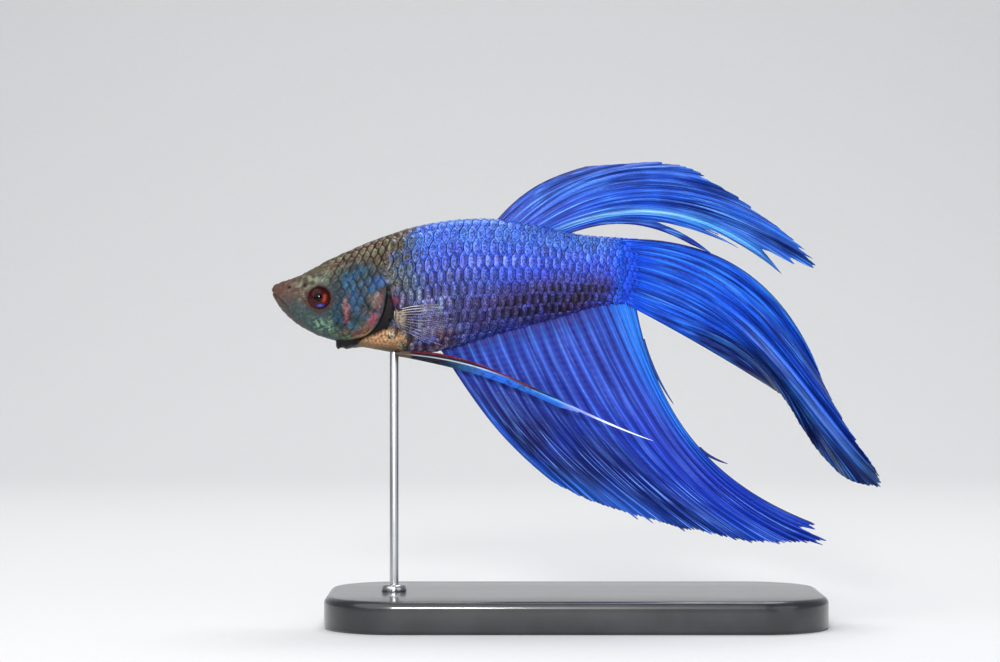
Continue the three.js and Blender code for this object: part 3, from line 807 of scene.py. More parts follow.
def flank_measures(points):
    """What the markings are worked out from: the places themselves, ripples of several sizes, distances
    from the fish's lines, and the zones of the body, each 1 inside and 0 outside."""
    back, up = back_and_up(points)
    m = SimpleNamespace(back=back, up=up)
    m.spot = lambda *shape: oval(back, up, *shape)
    m.cloud = ripple(points, 2.6, 3)
    m.fleck = ripple(points, 0.9, 4)
    m.fine = ripple(points, 0.45, 5)
    m.grain = ripple(points, 0.3, 7)
    m.upright = ripple(points * [1, 1, 0.22], 0.55, 6)
    m.behind, m.width = gill_slit(back, up)
    m.eye_out = np.hypot(back - EYE_BACK, up - EYE_UP)
    m.mouth, m.mouth_share = line_distance(back, up, MOUTH_LINE)
    m.throat, _ = line_distance(back, up, THROAT_LINE)
    top, m.bottom = body_measure(BACK, back), body_measure(BELLY, back)
    m.depth = (up - m.bottom) / (top - m.bottom + 1e-6)
    m.head = head_share(back, up)
    m.breast = breast_share(back, up)
    m.front = 1 - step(17, 30, back)
    m.low = 1 - step(0.42, 0.7, m.depth)
    m.nape = m.head * step(0.9, 2.6, up - 0.1 * back) * step(4, 7, back)
    m.cover = m.head * m.spot((11.2, -1.2), (3.5, 4.6), 0.3)
    m.cheek = m.head * m.spot((8.2, -2.2), (1.7, 3.2), 0.4)
    return m


def body_coats(m):
    """Blue over the whole flank with a painted highlight above, dusky in front and beneath, deep blue at the
    tail.
    """
    back, spot = m.back, m.spot
    return [
        ((50, 66, 172), 1.0),
        # Painted highlight: the upper flank lightened, where the light from above falls.
        ((76, 108, 192), step(0.6, 0.95, m.depth) * (0.6 + 0.25 * m.cloud)),
        ((52, 56, 94), (1 - step(19, 34, back)) * (1 - step(0.5, 0.95, m.depth)) * 0.9),
        ((76, 72, 112), m.front * (1 - step(0.36, 0.58, m.depth)) * 0.85),
        ((140, 136, 168), m.front * m.low * step(0.1, 0.7, m.upright) * 0.6),
        ((58, 64, 60), (1 - step(16.8, 19.8, back)) * step(0.3, 0.6, m.depth) * (0.86 + 0.3 * m.fleck)),
        ((84, 46, 44), (1 - step(16, 18, back)) * step(0.3, 0.6, m.depth) * step(0.2, 0.8, m.fleck) * 0.5),
        ((68, 52, 92), spot((33, -1.6), (10.5, 2.9), 0.5, 10) * (0.85 + 0.2 * m.cloud)),
        ((34, 24, 32), spot((36, -1.2), (7, 2.0), 0.6, 12) * step(-0.5, 0.6, m.fleck) * 0.85),
        ((92, 52, 52), spot((20.6, -6.2), (2.4, 1.4), 0.6, 20) * (0.7 + 0.3 * m.fleck)),
        ((52, 84, 190), spot((19.2, -6.0), (1.2, 0.7), 0.6) * (0.6 + 0.4 * m.fine)),
        ((22, 74, 214), step(41.6, 44, back) * 0.9),
        ((12, 44, 150), step(42, 45, back) * step(0.1, 0.7, m.fine) * 0.6),
    ]


def head_coats(m):
    """Olive head with rusty flecks, a teal gill cover barred with black, and the red rims of cheek,
    cover and eye."""
    back, up, spot = m.back, m.up, m.spot
    return [
        ((66, 62, 52), m.head),
        ((72, 58, 48), m.head * (1 - step(3, 6.5, back)) * (0.6 + 0.3 * m.cloud)),
        ((84, 38, 30), m.head * spot((2.8, -0.5), (2.4, 1.7), 0.7) * step(-0.4, 0.5, m.fleck)),
        ((116, 126, 106), m.head * spot((5.2, 1.5), (3.0, 0.9), 0.7, 28) * step(-0.5, 0.6, m.fleck)),
        ((104, 104, 90), m.head * spot((4.2, -1.3), (0.9, 1.5), 0.7) * step(-0.2, 0.5, m.fine)),
        ((96, 86, 72), m.head * (1 - step(2.4, 3.6, back)) * step(0.1, 0.6, m.fine) * 0.5),
        ((98, 46, 40), m.head * (1 - step(3.4, 5.4, back)) * step(0.15, 0.6, -m.fine) * 0.6),
        ((70, 62, 42), m.nape * 0.9),
        ((84, 38, 32), m.nape * step(0.0, 0.7, m.fleck) * 0.6),
        ((112, 108, 86), m.nape * step(0.0, 0.6, -m.fleck) * 0.6),
        ((44, 64, 68), m.head * spot((5.2, -3.7), (4.4, 1.5), 0.5, -34) * 0.85),
        ((66, 84, 76), m.head * spot((4.4, -3.4), (2.6, 0.8), 0.6, -40) * step(0, 0.7, m.fine) * 0.7),
        ((40, 62, 68), m.cheek * 0.8),
        ((26, 48, 58), m.cover),
        ((22, 72, 104), m.cover * step(-0.1, 0.8, m.upright) * 0.7),
        ((26, 78, 128), m.cover * spot((11.6, 0.6), (2.2, 1.6), 0.8) * step(-0.4, 0.6, m.upright) * 0.6),
        ((24, 30, 34), m.cover * step(0.0, 0.8, -m.upright) * 0.65),
        ((84, 64, 62), m.cover * spot((12.6, -2.4), (1.6, 2.6), 0.7) * step(0.0, 0.7, m.fleck) * 0.5),
        ((54, 82, 68), m.cover * spot((11.6, -4.6), (1.6, 0.7), 0.7) * 0.6),
        ((104, 138, 112), m.head * spot((6.5, -4.4), (1.3, 0.7), 0.7, -30) * step(-0.2, 0.3, m.fine)),
        ((118, 152, 122), m.head * spot((7.3, -4.1), (0.34, 0.7), 0.6) * step(-0.6, 0.2, m.fine) * 0.8),
        ((84, 108, 72), m.head * spot((9.2, -5.4), (1.7, 0.5), 0.7, -12) * step(-0.4, 0.4, m.fine)),
        ((104, 46, 56), m.head * spot((9.55, -2.6), (0.28, 2.4), 0.6, -2) * step(-0.7, 0.4, m.fleck)),
        ((146, 96, 104), m.head * spot((9.4, -2.2), (0.1, 1.0), 0.7) * 0.8),
        ((34, 72, 142), m.head * spot((13.7, 1.1), (0.8, 0.6), 0.7) * 0.8),
        ((126, 58, 62), bump(m.behind + 0.7, 0.42) * (m.behind < 0.15) * m.head * step(-5.5, -4.7, up)
         * (1 - step(-0.6, 0.6, up)) * step(-0.8, 0.3, m.fleck)),
        ((98, 84, 76), spot((13.2, -1.1), (0.7, 0.9), 0.6) * m.head * 0.85),
        ((104, 40, 44), m.head * spot((11.5, -5.2), (1.3, 0.3), 0.6, 18) * 0.7),
        ((60, 36, 32), bump(m.eye_out - 1.55, 0.3) * (0.8 - 0.5 * step(0, 1.2, up - EYE_UP))),
        ((52, 28, 26), bump(m.eye_out - 1.36, 0.16)),
    ]


def small_marks(m):
    """The orange breast, the pectoral fin's root, the black throat, and painted shade: black in the open
    gill slit, dark in the mouth's line and in the nostrils.
    """
    back, up, spot = m.back, m.up, m.spot
    dark_throat = (step(7.95, 8.05, back) * step(-0.26, -0.14, -m.throat) * (up < THROAT_TOP)
                   * step(-0.15, 0.1, up + 7.1 - 0.5 * (back - 9.6)) * (1 - step(12.6, 13.2, back)))
    marks = [
        ((98, 88, 54), m.breast),
        ((186, 138, 100), m.breast * spot((14.4, -5.8), (3.2, 1.0), 0.5, 2) * step(-0.8, 0.2, m.grain)),
        ((150, 84, 62), m.breast * step(0.0, 0.5, m.fleck) * step(-0.4, 0.3, m.grain) * 0.7),
        ((116, 94, 66), m.breast * step(0.15, 0.6, -m.grain) * 0.4),
        ((222, 190, 160), m.breast * spot((14.2, -5.9), (2.0, 0.7), 0.6) * step(0.4, 0.7, m.grain) * 0.7),
        ((60, 44, 40), m.breast * (1 - step(0.25, 0.7, up - m.bottom)) * step(12.5, 14.5, back) * 0.8),
        ((58, 48, 46), spot(FIN_SHOULDER, (1.1, 1.9), 0.4, 12) * 0.8),
        ((150, 138, 112), spot(FIN_SHOULDER, (0.6, 1.2), 0.5, 12) * step(-0.7, 0.2, m.grain)),
        ((92, 20, 44), spot((15.6, -1.2), (0.6, 0.6), 0.8) * 0.85),
        ((84, 26, 100), spot((15.8, -1.9), (0.4, 0.3), 0.6) * 0.8),
        # Painted shade: black inside the open gill slit.
        ((12, 8, 10), step(-0.02, 0.1, m.behind) * (1 - step(m.width * 0.92, m.width + 0.3, m.behind))
         * (m.width > 0.06)),
        ((14, 9, 11), dark_throat),
        # Painted shade in the groove between the lips.
        ((46, 32, 28), bump(m.mouth, 0.12) * (1 - step(0.7, 1, m.mouth_share)) * 0.8),
    ]
    # Painted shade in the nostrils' pits.
    return marks + [((20, 13, 13), 0.9 * bump(np.hypot(back - x, up - z), 0.9 * r)) for x, z, r in NOSTRILS]


def markings(points):
    """The fish's colours at places on the skin or its scales, with the share by which a scale's cell
    narrows to a streak. Coats are laid one over the other, from the broad ground to the small marks."""
    m = flank_measures(points)
    made = paint((52, 66, 200), body_coats(m) + head_coats(m) + small_marks(m))
    streak = np.maximum.reduce([
        m.low * (1 - step(38, 43, m.back)) * (0.5 + 0.4 * m.front) * (1 - m.head),
        m.spot((34, -1.4), (9, 2.2), 0.5, 11) * 0.95,
        m.cover,
        m.cheek,
        m.head * (1 - step(6.6, 9, m.back)) * 0.85,
    ])
    return np.concatenate([made, streak[..., None]], axis=-1)


def corner_map(*corners):
    """A map from the (across, along) of each corner of a run of faces."""
    return np.stack([together(across, along) for across, along in corners], axis=1).reshape(-1, 2)


def skin_bake_map(rows, around):
    """The skin unrolled: turns across and stations along, with a strip of triangles at each end."""
    u, v = np.linspace(0.002, 0.998, around + 1), np.linspace(0.01, 0.99, rows)
    i, j = np.divmod(np.arange((rows - 1) * around), around)
    between = (u[:-1] + u[1:]) / 2
    return np.concatenate([
        corner_map((u[j], v[i + 1]), (u[j + 1], v[i + 1]), (u[j + 1], v[i]), (u[j], v[i])),
        corner_map((between, 0.002), (u[:-1], v[0]), (u[1:], v[0])),
        corner_map((between, 0.998), (u[1:], v[-1]), (u[:-1], v[-1])),
    ])


def tail_stump(ring):
    """Rings that close the skin inside the tail fin: each narrower and further back than the last one,
    with lobes 0.6 mm apart where the fin's rays take root."""
    middle = ring.mean(axis=0)
    lobes = 0.75 + 0.25 * np.cos(TAU * (ring[:, 2:] - middle[2]) / 0.6)
    tapers = ((0.8, 0.99, 0.15), (0.5, 0.97, 0.35), (0.25, 0.95, 0.5), (0.08, 0.93, 0.55))
    return np.array([
        middle + (ring - middle) * [1, thin, tall] + lobes * [reach, 0, 0] for thin, tall, reach in tapers
    ])


def skin_piece(material):
    """The whole skin as one closed grid: stations from snout to tail root, each once round the girth.
    They are closest at the snout, and close as far as the gill slit."""
    muzzle, cheek, breast = 4.6, 8.6, 16.5
    backs = np.concatenate([
        muzzle * np.linspace(0, 1, 111)[1:] ** 1.7,
        np.linspace(muzzle, cheek, 66)[1:],
        np.linspace(cheek, breast, 100)[1:],
        np.linspace(breast, LENGTH, 112)[1:],
    ])
    around = 240
    shares = np.arange(around) / around * 2 - 1
    points, _ = on_skin(backs[:, None], shares[None, :])
    smooth = body_at(backs[:, None], shares[None, :])
    colours = markings(smooth)
    # Painted shade: the skin lying under the flank scales is darkened, as the scales shade it.
    scale_shade_span = step(16.2, 18.5, backs) * (1 - step(42.5, 44.5, backs))
    scale_shade = scale_shade_span[:, None] * (1 - breast_share(*back_and_up(smooth)))
    colours[..., :3] *= (1 - 0.7 * scale_shade)[..., None]
    last = points[-1].mean(axis=0)
    ends = tail_stump(points[-1])
    points = np.concatenate([points, ends])
    colours = np.concatenate([colours, np.repeat(colours[-1:], len(ends), axis=0)])
    poles = np.array([[SNOUT_X + HEAD_COAT, 0, SNOUT_Z], last + [0.4, 0, 0]])
    every = np.concatenate([points.reshape(-1, 3), poles])
    tints = np.concatenate([colours.reshape(-1, 4), colours[0, :1], colours[-1, :1]])
    rows = len(points)
    faces = [f[:, ::-1] for f in barrel_faces(rows, around)]
    return place_mesh(
        "skin", every, faces, material,
        ("head", "lower_jaw", "gill_cover_left", "gill_cover_right", "gill_membrane", "trunk", "tail_stalk"),
        corner_maps={"OFBake": skin_bake_map(rows, around)}, colours=tints)


# ---- Scales ----
SCALE_ROWS, SCALE_COLUMNS = 4, 9  # points of one scale's grid, root to free edge and side to side
SCALE_ALONG = np.linspace(0, 1, SCALE_ROWS)[:, None]
SCALE_ACROSS = np.linspace(-1, 1, SCALE_COLUMNS)[None, :]
SCALE_EDGE, SCALE_UNDERSIDE = 0.025, 0.05  # thickness at the edge, and how deep the underside lies
SCALE_SHARE_DRAWN = 0.45  # share of its map that a scale at the start of the coat shows
PATCH = 0.003  # size of a scale's patch on the bake map
HEAD_PITCH, TAIL_PITCH, TAIL_ROW_PITCH = 0.98, 0.62, 0.8


def scale_lattice(pitch_at, row_pitch_at, start, end, side):
    """Middles of the scales on one side as (back, distance from the back's ridge): columns a pitch
    apart along the body, every other row set on by half a pitch, rows parallel to the back. The row on
    the ridge itself belongs to the left side."""
    backs = [start]
    while backs[-1] < end:
        backs.append(backs[-1] + pitch_at(backs[-1]))
    backs = np.array(backs)
    rows = np.arange(0 if side > 0 else 1, 17)
    half = np.interp(np.arange(len(backs)) + 0.5, np.arange(len(backs)), backs)
    place = np.where(rows[None, :] % 2 == 0, backs[:, None], half[:, None])
    down = rows[None, :] * row_pitch_at(place)
    return place.ravel(), down.ravel(), np.full(place.size, side)


def fall_back(across):
    """How far a scale's free edge has fallen back at a place across it, 0 to 1: straight over its
    middle and slanted at its sides."""
    past = np.abs(across) - 0.3
    return (past + np.hypot(past, 0.1)) / (0.7 + np.hypot(0.7, 0.1))


def scale_maps(place, share, drawn):
    """The bake map and the scale's own map, for the top and then the underside of each scale. On the
    bake map a scale is a small patch at its root's place on the unrolled skin."""
    count = len(place)
    local = together(SCALE_ALONG, SCALE_ACROSS).reshape(1, -1, 2)
    shown = [1, 0] + (local - [1, 0]) * drawn
    own = np.broadcast_to(np.concatenate([shown, shown], 1), (count, 2 * local.shape[1], 2))
    root = np.stack([0.03 + 0.94 * place / LENGTH, 0.5 + 0.47 * share], -1)
    flat = np.stack([local[..., 0] - 0.5, local[..., 1] / 2], -1) * PATCH
    bake = root[:, None, :] + np.concatenate([flat, flat + [0, PATCH * 1.2]], 1)
    return {"OFBake": bake.reshape(-1, 2), "Scale": own.reshape(-1, 2)}


def scale_coat(name, lattice, size_at, lift, sink, material, slot, keep, seed, inside=None):
    """A coat of scales as one piece. Each scale is a shallow closed shingle. Its free edge is swept,
    length * (1 - sweep * fall_back) behind its root; its top rises from under its neighbours to `lift` at
    the free edge with a slight crown, and its underside meets the top all round. `inside` is a scale's
    distance from the start of the coat; those next to it show more of themselves, so their net is
    drawn in."""
    place, down, side = lattice
    rng = np.random.default_rng(seed)
    share = down / half_girth(place) * side
    middle = body_at(place, share)
    kept = keep(*back_and_up(middle), np.abs(share))
    length, width, pitch = (size[kept] for size in size_at(place))
    place, share, side, middle = place[kept], share[kept], side[kept], middle[kept]
    count, points_each = len(place), SCALE_ROWS * SCALE_COLUMNS
    along, across = SCALE_ALONG, SCALE_ACROSS
    sway = rng.uniform(-1, 1, (3, count, 1, 1))
    tip = (place + pitch / 2)[:, None, None] + 0.05 * sway[0]
    back = tip + length[:, None, None] * (along * (1 - SCALE_SWEEP * fall_back(across)) - 1)
    back = np.clip(back, 0.02, LENGTH - 0.01)
    aside = width[:, None, None] * (across * (0.85 + 0.15 * along) + 0.03 * sway[1])
    at = share[:, None, None] + side[:, None, None] * aside / half_girth(place)[:, None, None]
    rise = lift * ((1 + 0.15 * sway[2]) * (1 - 0.4 * across**4) - 2 * (1 - along) ** 2.6)
    edge = (along == 1) | (np.abs(across) > 0.999) | (along == 0)
    top, _ = on_skin(back, at, rise - sink)
    under, _ = on_skin(back, at, np.where(edge, rise - sink - SCALE_EDGE, -sink - SCALE_UNDERSIDE))
    points = np.concatenate([top.reshape(count, -1, 3), under.reshape(count, -1, 3)], axis=1)
    faces = sheet_faces(SCALE_ROWS, SCALE_COLUMNS)[None] + np.arange(count)[:, None, None] * 2 * points_each
    faces[side < 0] = faces[side < 0][:, :, ::-1]
    smooth = body_at(back, at).reshape(count, -1, 3)
    tint = markings(np.concatenate([smooth, smooth], axis=1))
    tint[..., :3] *= 1 + rng.uniform(-0.2, 0.2, (count, 1, 1)) + rng.uniform(-0.1, 0.1, (count, 1, 3))
    drawn = 1
    if inside is not None:
        whole = step(0, 1.6, inside(*back_and_up(middle)))
        drawn = (SCALE_SHARE_DRAWN + (1 - SCALE_SHARE_DRAWN) * whole)[:, None, None]
    return place_mesh(
        name, points.reshape(-1, 3), [faces.reshape(-1, 4)], material,
        point_maps=scale_maps(place, share, drawn), colours=np.clip(tint, 0, 1).reshape(-1, 4))


def body_row_pitch(back):
    """Distance between rows of flank scales, less towards the tail."""
    return 1.78 - 0.56 * step(25, 43, back)


def body_pitch(back):
    """Distance between flank scales along a row, less towards the tail."""
    return 1.08 - 0.26 * step(28, 43, back)


def head_row_pitch(back):
    """Distance between rows of head scales, more towards the body."""
    return 0.86 + 0.28 * step(7, 12, back)


def body_scale_size(back):
    """Length, half width and pitch of a flank scale."""
    return 1.75 * body_pitch(back), 0.79 * body_row_pitch(back), body_pitch(back)


def head_scale_size(back):
    """The same of a head scale."""
    return 1.6 + 0 * back, 0.82 * head_row_pitch(back), HEAD_PITCH + 0 * back


def tail_scale_size(back):
    """The same of a scale over the tail fin's root."""
    return 1.1 + 0 * back, 0.62 + 0 * back, TAIL_PITCH + 0 * back


def bare_places(back, up):
    """1 where no scale may stand: eye, lips, gill slit, membrane and the pectoral fin's root."""
    behind, width = gill_slit(back, up)
    throat, _ = line_distance(back, up, THROAT_LINE)
    slit = (behind > -0.35) & (behind < width + 0.5) & (width > 0.1)
    eye = np.hypot(back - EYE_BACK, up - EYE_UP) < EYE_RADIUS + 0.65
    flap = (throat < 0.75) & (up < THROAT_TOP) & (back > 7) & (back < 14)
    shoulder = oval(back, up, FIN_SHOULDER, (1.2, 1.9), 0.2, 12) > 0.3
    return slit | eye | flap | shoulder


def past_head(back, up):
    """Distance behind the line where the body's scales take over from the head's."""
    behind, _ = line_distance(back, up, GILL_LINE)
    return np.where(up > 2.9, back - 14.6 - 0.25 * (up - 3), behind - 0.5)


def inside_body(back, up):
    """Distance of a flank scale from the start of its coat: the head's line and the bare breast."""
    return np.minimum(past_head(back, up), 4 * (0.85 - breast_share(back, up)))


def keep_body(back, up, share):
    """Where a flank scale stands."""
    flank = (back < 43.6) & (back > 12.5) & (share < 1) & (breast_share(back, up) < 0.75)
    return (past_head(back, up) > 0) & flank & ~bare_places(back, up)


def keep_head(back, up, share):
    """Where a head scale stands: a little under the first flank scales, and not on muzzle or throat."""
    past = past_head(back, up) > 1.3
    muzzle = (back < 6.1) | ((back < 7) & (up < 0.6))
    under = (up < -4.6) & (back < 9)
    bare = bare_places(back, up) | (breast_share(back, up) > 0.3)
    return ~past & ~bare & ~muzzle & ~under & (share < 0.93)


def keep_tail(back, up, share):
    """Where a scale over the tail fin's root stands, at any height."""
    return (back >= 43.2) & (back < 45.9) & (share < 1.0)


def add_scales():
    """The coats: large scales on each flank, small ones on the head and the root of the tail."""
    # After the net's colour and share come the painted sheen's colour and strength; the strength also sets
    # the dark specks.
    flank = scale_material("flank_scales", 0.3, rgba(66, 60, 96), 0.94, rgba(150, 200, 255), 1.0)
    head = scale_material("head_scales", 0.05, rgba(92, 62, 58), 1.0, rgba(160, 190, 160), 0.5, faint=True,
                          rim=0.9, front=0.44)
    root = scale_material("tail_root_scales", 0.3, rgba(90, 110, 190), 0.8, rgba(60, 160, 255), 0.4)
    # Name; lattice (pitch, row pitch, start, end); size, lift and sink of a scale; material, slot; where
    # a scale may stand; seed; distance from the coat's start.
    coats = [
        ("flank", (body_pitch, body_row_pitch, 12.2, 43.4), (body_scale_size, 0.13, 0.02),
         (flank, "scales_blue"), keep_body, 10, inside_body),
        ("head", (lambda a: HEAD_PITCH, head_row_pitch, 3.6, 17.5), (head_scale_size, 0.06, 0.015),
         (head, "head_skin"), keep_head, 20, None),
        ("tail_root", (lambda a: TAIL_PITCH, lambda a: TAIL_ROW_PITCH + 0 * a, 43.0, 45.6),
         (tail_scale_size, 0.09, 0.02), (root, "scales_blue"), keep_tail, 30, None),
    ]
    for side, word in ((1, "left"), (-1, "right")):
        for part, rows, scale, finish, keep, seed, inside in coats:
            lattice = scale_lattice(*rows, side)
            scale_coat(f"scales_{part}_{word}", lattice, *scale, *finish, keep, seed + side, inside)


# ---- Fins ----
# Each fin is a table: its key rays; the pleats' waves, phase, depth and lean; the mesh's columns and
# rows; the count of fine rays and where they fork; the depth of the sheet's foot in the flesh; folds
# and depth of the creases; count and seed of the teeth; the extra half thickness at the root and how
# soon it falls off; the margin (place, reach, depth of teeth); and the strands that run on past it
# (place, tip, half width, sharpness).
def ray(root, root_angle, tip, tip_angle, y=(0.0, 0.0)):
    """A key ray: its root and tip (x, z), the angles at which it leaves and ends, and its sideways
    places at root and tip."""
    return (*root, root_angle, *tip, tip_angle, *y)


DORSAL = {
    "rays": [
        ray((-10.2, 49.9), 50, (1.6, 57.2), 16),
        ray((-8.4, 49.6), 45, (11.6, 57.6), 6),
        ray((-7, 49.4), 41, (17.1, 55.5), -13.5),
        ray((-5.7, 49.2), 37, (25.3, 49.7), -33),
        ray((-4.8, 49), 33, (28.7, 46.7), -33),
        ray((-4.1, 48.9), 29, (30.2, 44.5), -32),
        ray((-3.3, 48.7), 24, (25.9, 43.6), -44),
        ray((-2.5, 48.5), 24, (20.4, 46.9), -29, (0, -0.9)),
        ray((-1.5, 48.4), 22, (16.6, 46), -33, (0, -2.2)),
    ],
    "pleat": {"waves": 3.4, "phase": 0.6, "depth": 0.75, "lean": 0.9},
    "columns": 313, "rows": 110, "count": 13, "forks": (0.12, 0.5), "sink": 0.05,
    "creases": (13, 0.2), "teeth": (52, 3), "root": (0.26, 1.6),
    "margin": [(0, 1, 0.3), (0.115, 1, 0.2), (0.13, 0.965, 0.6), (0.235, 1.005, 0.8), (0.25, 0.96, 0.8),
               (0.325, 1.01, 0.8), (0.34, 0.955, 0.8), (0.385, 1, 0.8), (0.4, 0.94, 0.8), (0.46, 0.99, 0.8),
               (0.47, 0.95, 0.8), (0.56, 0.965, 0.8), (0.625, 0.96, 0.6), (0.68, 0.9, 0.5),
               (0.72, 0.84, 0.4), (0.75, 0.86, 0.4), (0.79, 0.72, 0.4), (0.82, 0.66, 0.3),
               (0.875, 0.72, 0.3), (0.925, 0.6, 0.3), (0.95, 0.52, 0.3), (1, 0.6, 0.3)],
    "strands": [(0.375, 1, 0.03, 1.2), (0.45, 0.99, 0.02, 1.2), (0.5, 1, 0.025, 1.2), (0.56, 1, 0.02, 1.2),
                (0.61, 1, 0.025, 1), (0.635, 1, 0.025, 1), (0.675, 0.96, 0.02, 1.2), (0.75, 1, 0.045, 1.4),
                (0.815, 0.8, 0.02, 1.2), (0.875, 1, 0.05, 1.2), (0.985, 1, 0.055, 1.1)],
}
CAUDAL = {
    "rays": [
        ray((7.2, 48), -1, (30.2, 33.1), -64),
        ray((7.2, 47), -4, (32.6, 27.6), -60),
        ray((7.2, 45.9), -7.5, (35, 23.2), -50),
        ray((7.2, 44.8), -10, (37.9, 19.2), -47),
        ray((7.2, 43.7), -13.5, (37.8, 17.4), -44),
        ray((7.2, 42.9), -15.5, (34.1, 18.1), -58),
        ray((7.2, 41.7), -20, (29.8, 22.7), -68),
        ray((7.3, 40.2), -25, (26.4, 28), -60.5),
        ray((7.4, 39.3), -28, (25.2, 29.2), -31),
    ],
    "pleat": {"waves": 3.2, "phase": 0.2, "depth": 1.25, "lean": 3.2},
    "columns": 337, "rows": 130, "count": 14, "forks": (0.12, 0.45), "sink": 0.04,
    "creases": (14, 0.22), "teeth": (56, 5), "root": (0.62, 2.0),
    "margin": [(0, 1, 0.5), (0.12, 1.01, 0.8), (0.14, 0.985, 0.8), (0.25, 1.01, 0.8), (0.27, 0.985, 0.8),
               (0.36, 1.01, 1), (0.5, 1.01, 0.9), (0.56, 1.005, 0.25), (0.7, 1, 0.3), (0.8, 1, 0.7),
               (1, 1, 0.7)],
    "strands": [],
}
ANAL = {
    "rays": [
        ray((-17.4, 35.1), -57, (-2.6, 17.5), -38),
        ray((-13.2, 35.9), -68, (3, 14.9), -40),
        ray((-9.7, 37), -70, (9.4, 13.1), -38),
        ray((-6, 38.1), -70, (14.6, 11.7), -36),
        ray((-2.2, 39.1), -68, (21.2, 10.5), -32),
        ray((1.6, 40), -66, (26.2, 10), -27),
        ray((4.8, 40.9), -70, (30.8, 10.5), -19),
        ray((7.5, 40.3), -80, (29.8, 12.5), -21),
    ],
    "pleat": {"waves": 2.8, "phase": 1.1, "depth": 0.9, "lean": -0.6},
    "columns": 401, "rows": 110, "count": 20, "forks": (0.36, 0.66), "sink": 0.05,
    "creases": (20, 0.16), "teeth": (72, 7), "root": (0.34, 1.6),
    "margin": [(0, 1, 0.7), (0.2, 1.01, 1.2), (0.5, 1.01, 1.5), (0.84, 1, 1.4), (0.87, 0.96, 0.8),
               (0.9, 0.93, 0.8), (0.93, 0.96, 0.8), (1, 0.985, 0.6)],
    "strands": [(0.86, 1.01, 0.03, 1.2), (0.94, 0.985, 0.02, 1.2), (0.99, 1, 0.03, 1.2)],
}
PELVIC = {
    "rays": [
        ray((-21, 33.15), -11, (-1.9, 27), -25, (-1.2, -3.1)),
        ray((-20.9, 33.55), -5, (9.6, 22.9), -19, (-1.2, -3.6)),
        ray((-20.6, 34), -2, (-5.4, 29.3), -26, (-1.2, -2.8)),
    ],
    "pleat": {"waves": 0, "phase": 0, "depth": 0, "lean": 0},
    "columns": 41, "rows": 120, "count": 5, "forks": (2, 3), "sink": 0.04,
    "creases": (5, 0.05), "teeth": (8, 9), "root": (0.26, 1.6), "strands": [],
    "margin": [(0, 1, 0.1), (0.5, 0.64, 0.1), (1, 1, 0.1)],
}
PECTORAL = {
    "rays": [
        ray((-22.1, 39.1), 24, (-16.6, 39.9), 4, (-3.9, -6.3)),
        ray((-22.1, 38.4), 4, (-15.9, 38.3), -6, (-3.9, -6.6)),
        ray((-22, 37.7), -14, (-16.2, 36.4), -12, (-3.9, -6.5)),
        ray((-21.8, 36.9), -34, (-17.7, 34.7), -22, (-3.9, -6)),
    ],
    "pleat": {"waves": 2, "phase": 0, "depth": 0.1, "lean": 0},
    "columns": 133, "rows": 70, "count": 11, "forks": (0.35, 2), "sink": 0.04,
    "creases": (11, 0.04), "teeth": (22, 11), "root": (0.2, 1.2), "margin": [(0, 1, 1.6), (1, 1, 1.6)],
    "strands": [],
}
HANDLE = 0.4  # length of a ray's Bezier handles over the distance from its root to its tip
PLEAT_GROWTH, CREASE_GROWTH = 1.2, 0.8  # how late pleats and creases open towards the margin
WEB_HALF, RAY_HALF = 0.035, 0.06  # half thickness of the web, and what a ray adds to it
RAY_WIDTH = 0.1  # half width of a ray, in ray spacings
ROD_STATIONS, ROD_SIDES, ROD_FLATNESS = 30, 10, 0.45


def ray_values(fin, u):
    """The key rays' values at a place u of 0 to 1 across the fin, through the rays by their order."""
    rays = np.array(fin["rays"])
    return through(np.column_stack([np.arange(len(rays)), rays]), u * (len(rays) - 1))


def ray_length(fin, u):
    """Straight distance from root to tip of the ray at u."""
    ends = ray_values(fin, u)
    return np.linalg.norm(ends[..., 3:5] - ends[..., 0:2], axis=-1)


def fork_distance(fin, u, v):
    """How far a place is from its nearest ray, in ray spacings: a ray's middle parts into two and then
    four, and each part lies halfway between its neighbours once it has spread."""
    cell = (u * fin["count"]) % 1 - 0.5
    first = 0.25 * step(fin["forks"][0], fin["forks"][0] + 0.35, v)
    second = 0.125 * step(fin["forks"][1], fin["forks"][1] + 0.3, v)
    return np.abs(np.abs(np.abs(cell) - first) - second)


def fin_middle(fin, u, v):
    """The fin's middle surface: a cubic Bezier ray from root (v 0) to tip (v 1) at each u, with pleats
    sin(turns of u) that open towards the margin, a lean v^2 and small creases from ray to ray."""
    k = ray_values(fin, u)
    root, tip = k[..., 0:2], k[..., 3:5]
    reach = HANDLE * np.linalg.norm(tip - root, axis=-1)
    leave, arrive = np.radians(k[..., 2]), np.radians(k[..., 5])
    out = root + reach[..., None] * np.stack([np.cos(leave), np.sin(leave)], -1)
    back = tip - reach[..., None] * np.stack([np.cos(arrive), np.sin(arrive)], -1)
    t = np.asarray(v)[..., None]
    xz = (1 - t) ** 3 * root + 3 * (1 - t) ** 2 * t * out + 3 * (1 - t) * t**2 * back + t**3 * tip
    grown = np.clip(v, 0, None)
    pleat, (folds, fold_depth) = fin["pleat"], fin["creases"]
    wave = pleat["depth"] * grown**PLEAT_GROWTH * np.sin(TAU * pleat["waves"] * u + pleat["phase"])
    crease = fold_depth * grown**CREASE_GROWTH * np.cos(TAU * folds * u)
    y_root, y_tip = k[..., 6], k[..., 7]
    y = y_root + (y_tip - y_root) * v + wave + pleat["lean"] * grown**2 + crease
    return np.stack([xz[..., 0], y, xz[..., 1]], -1)


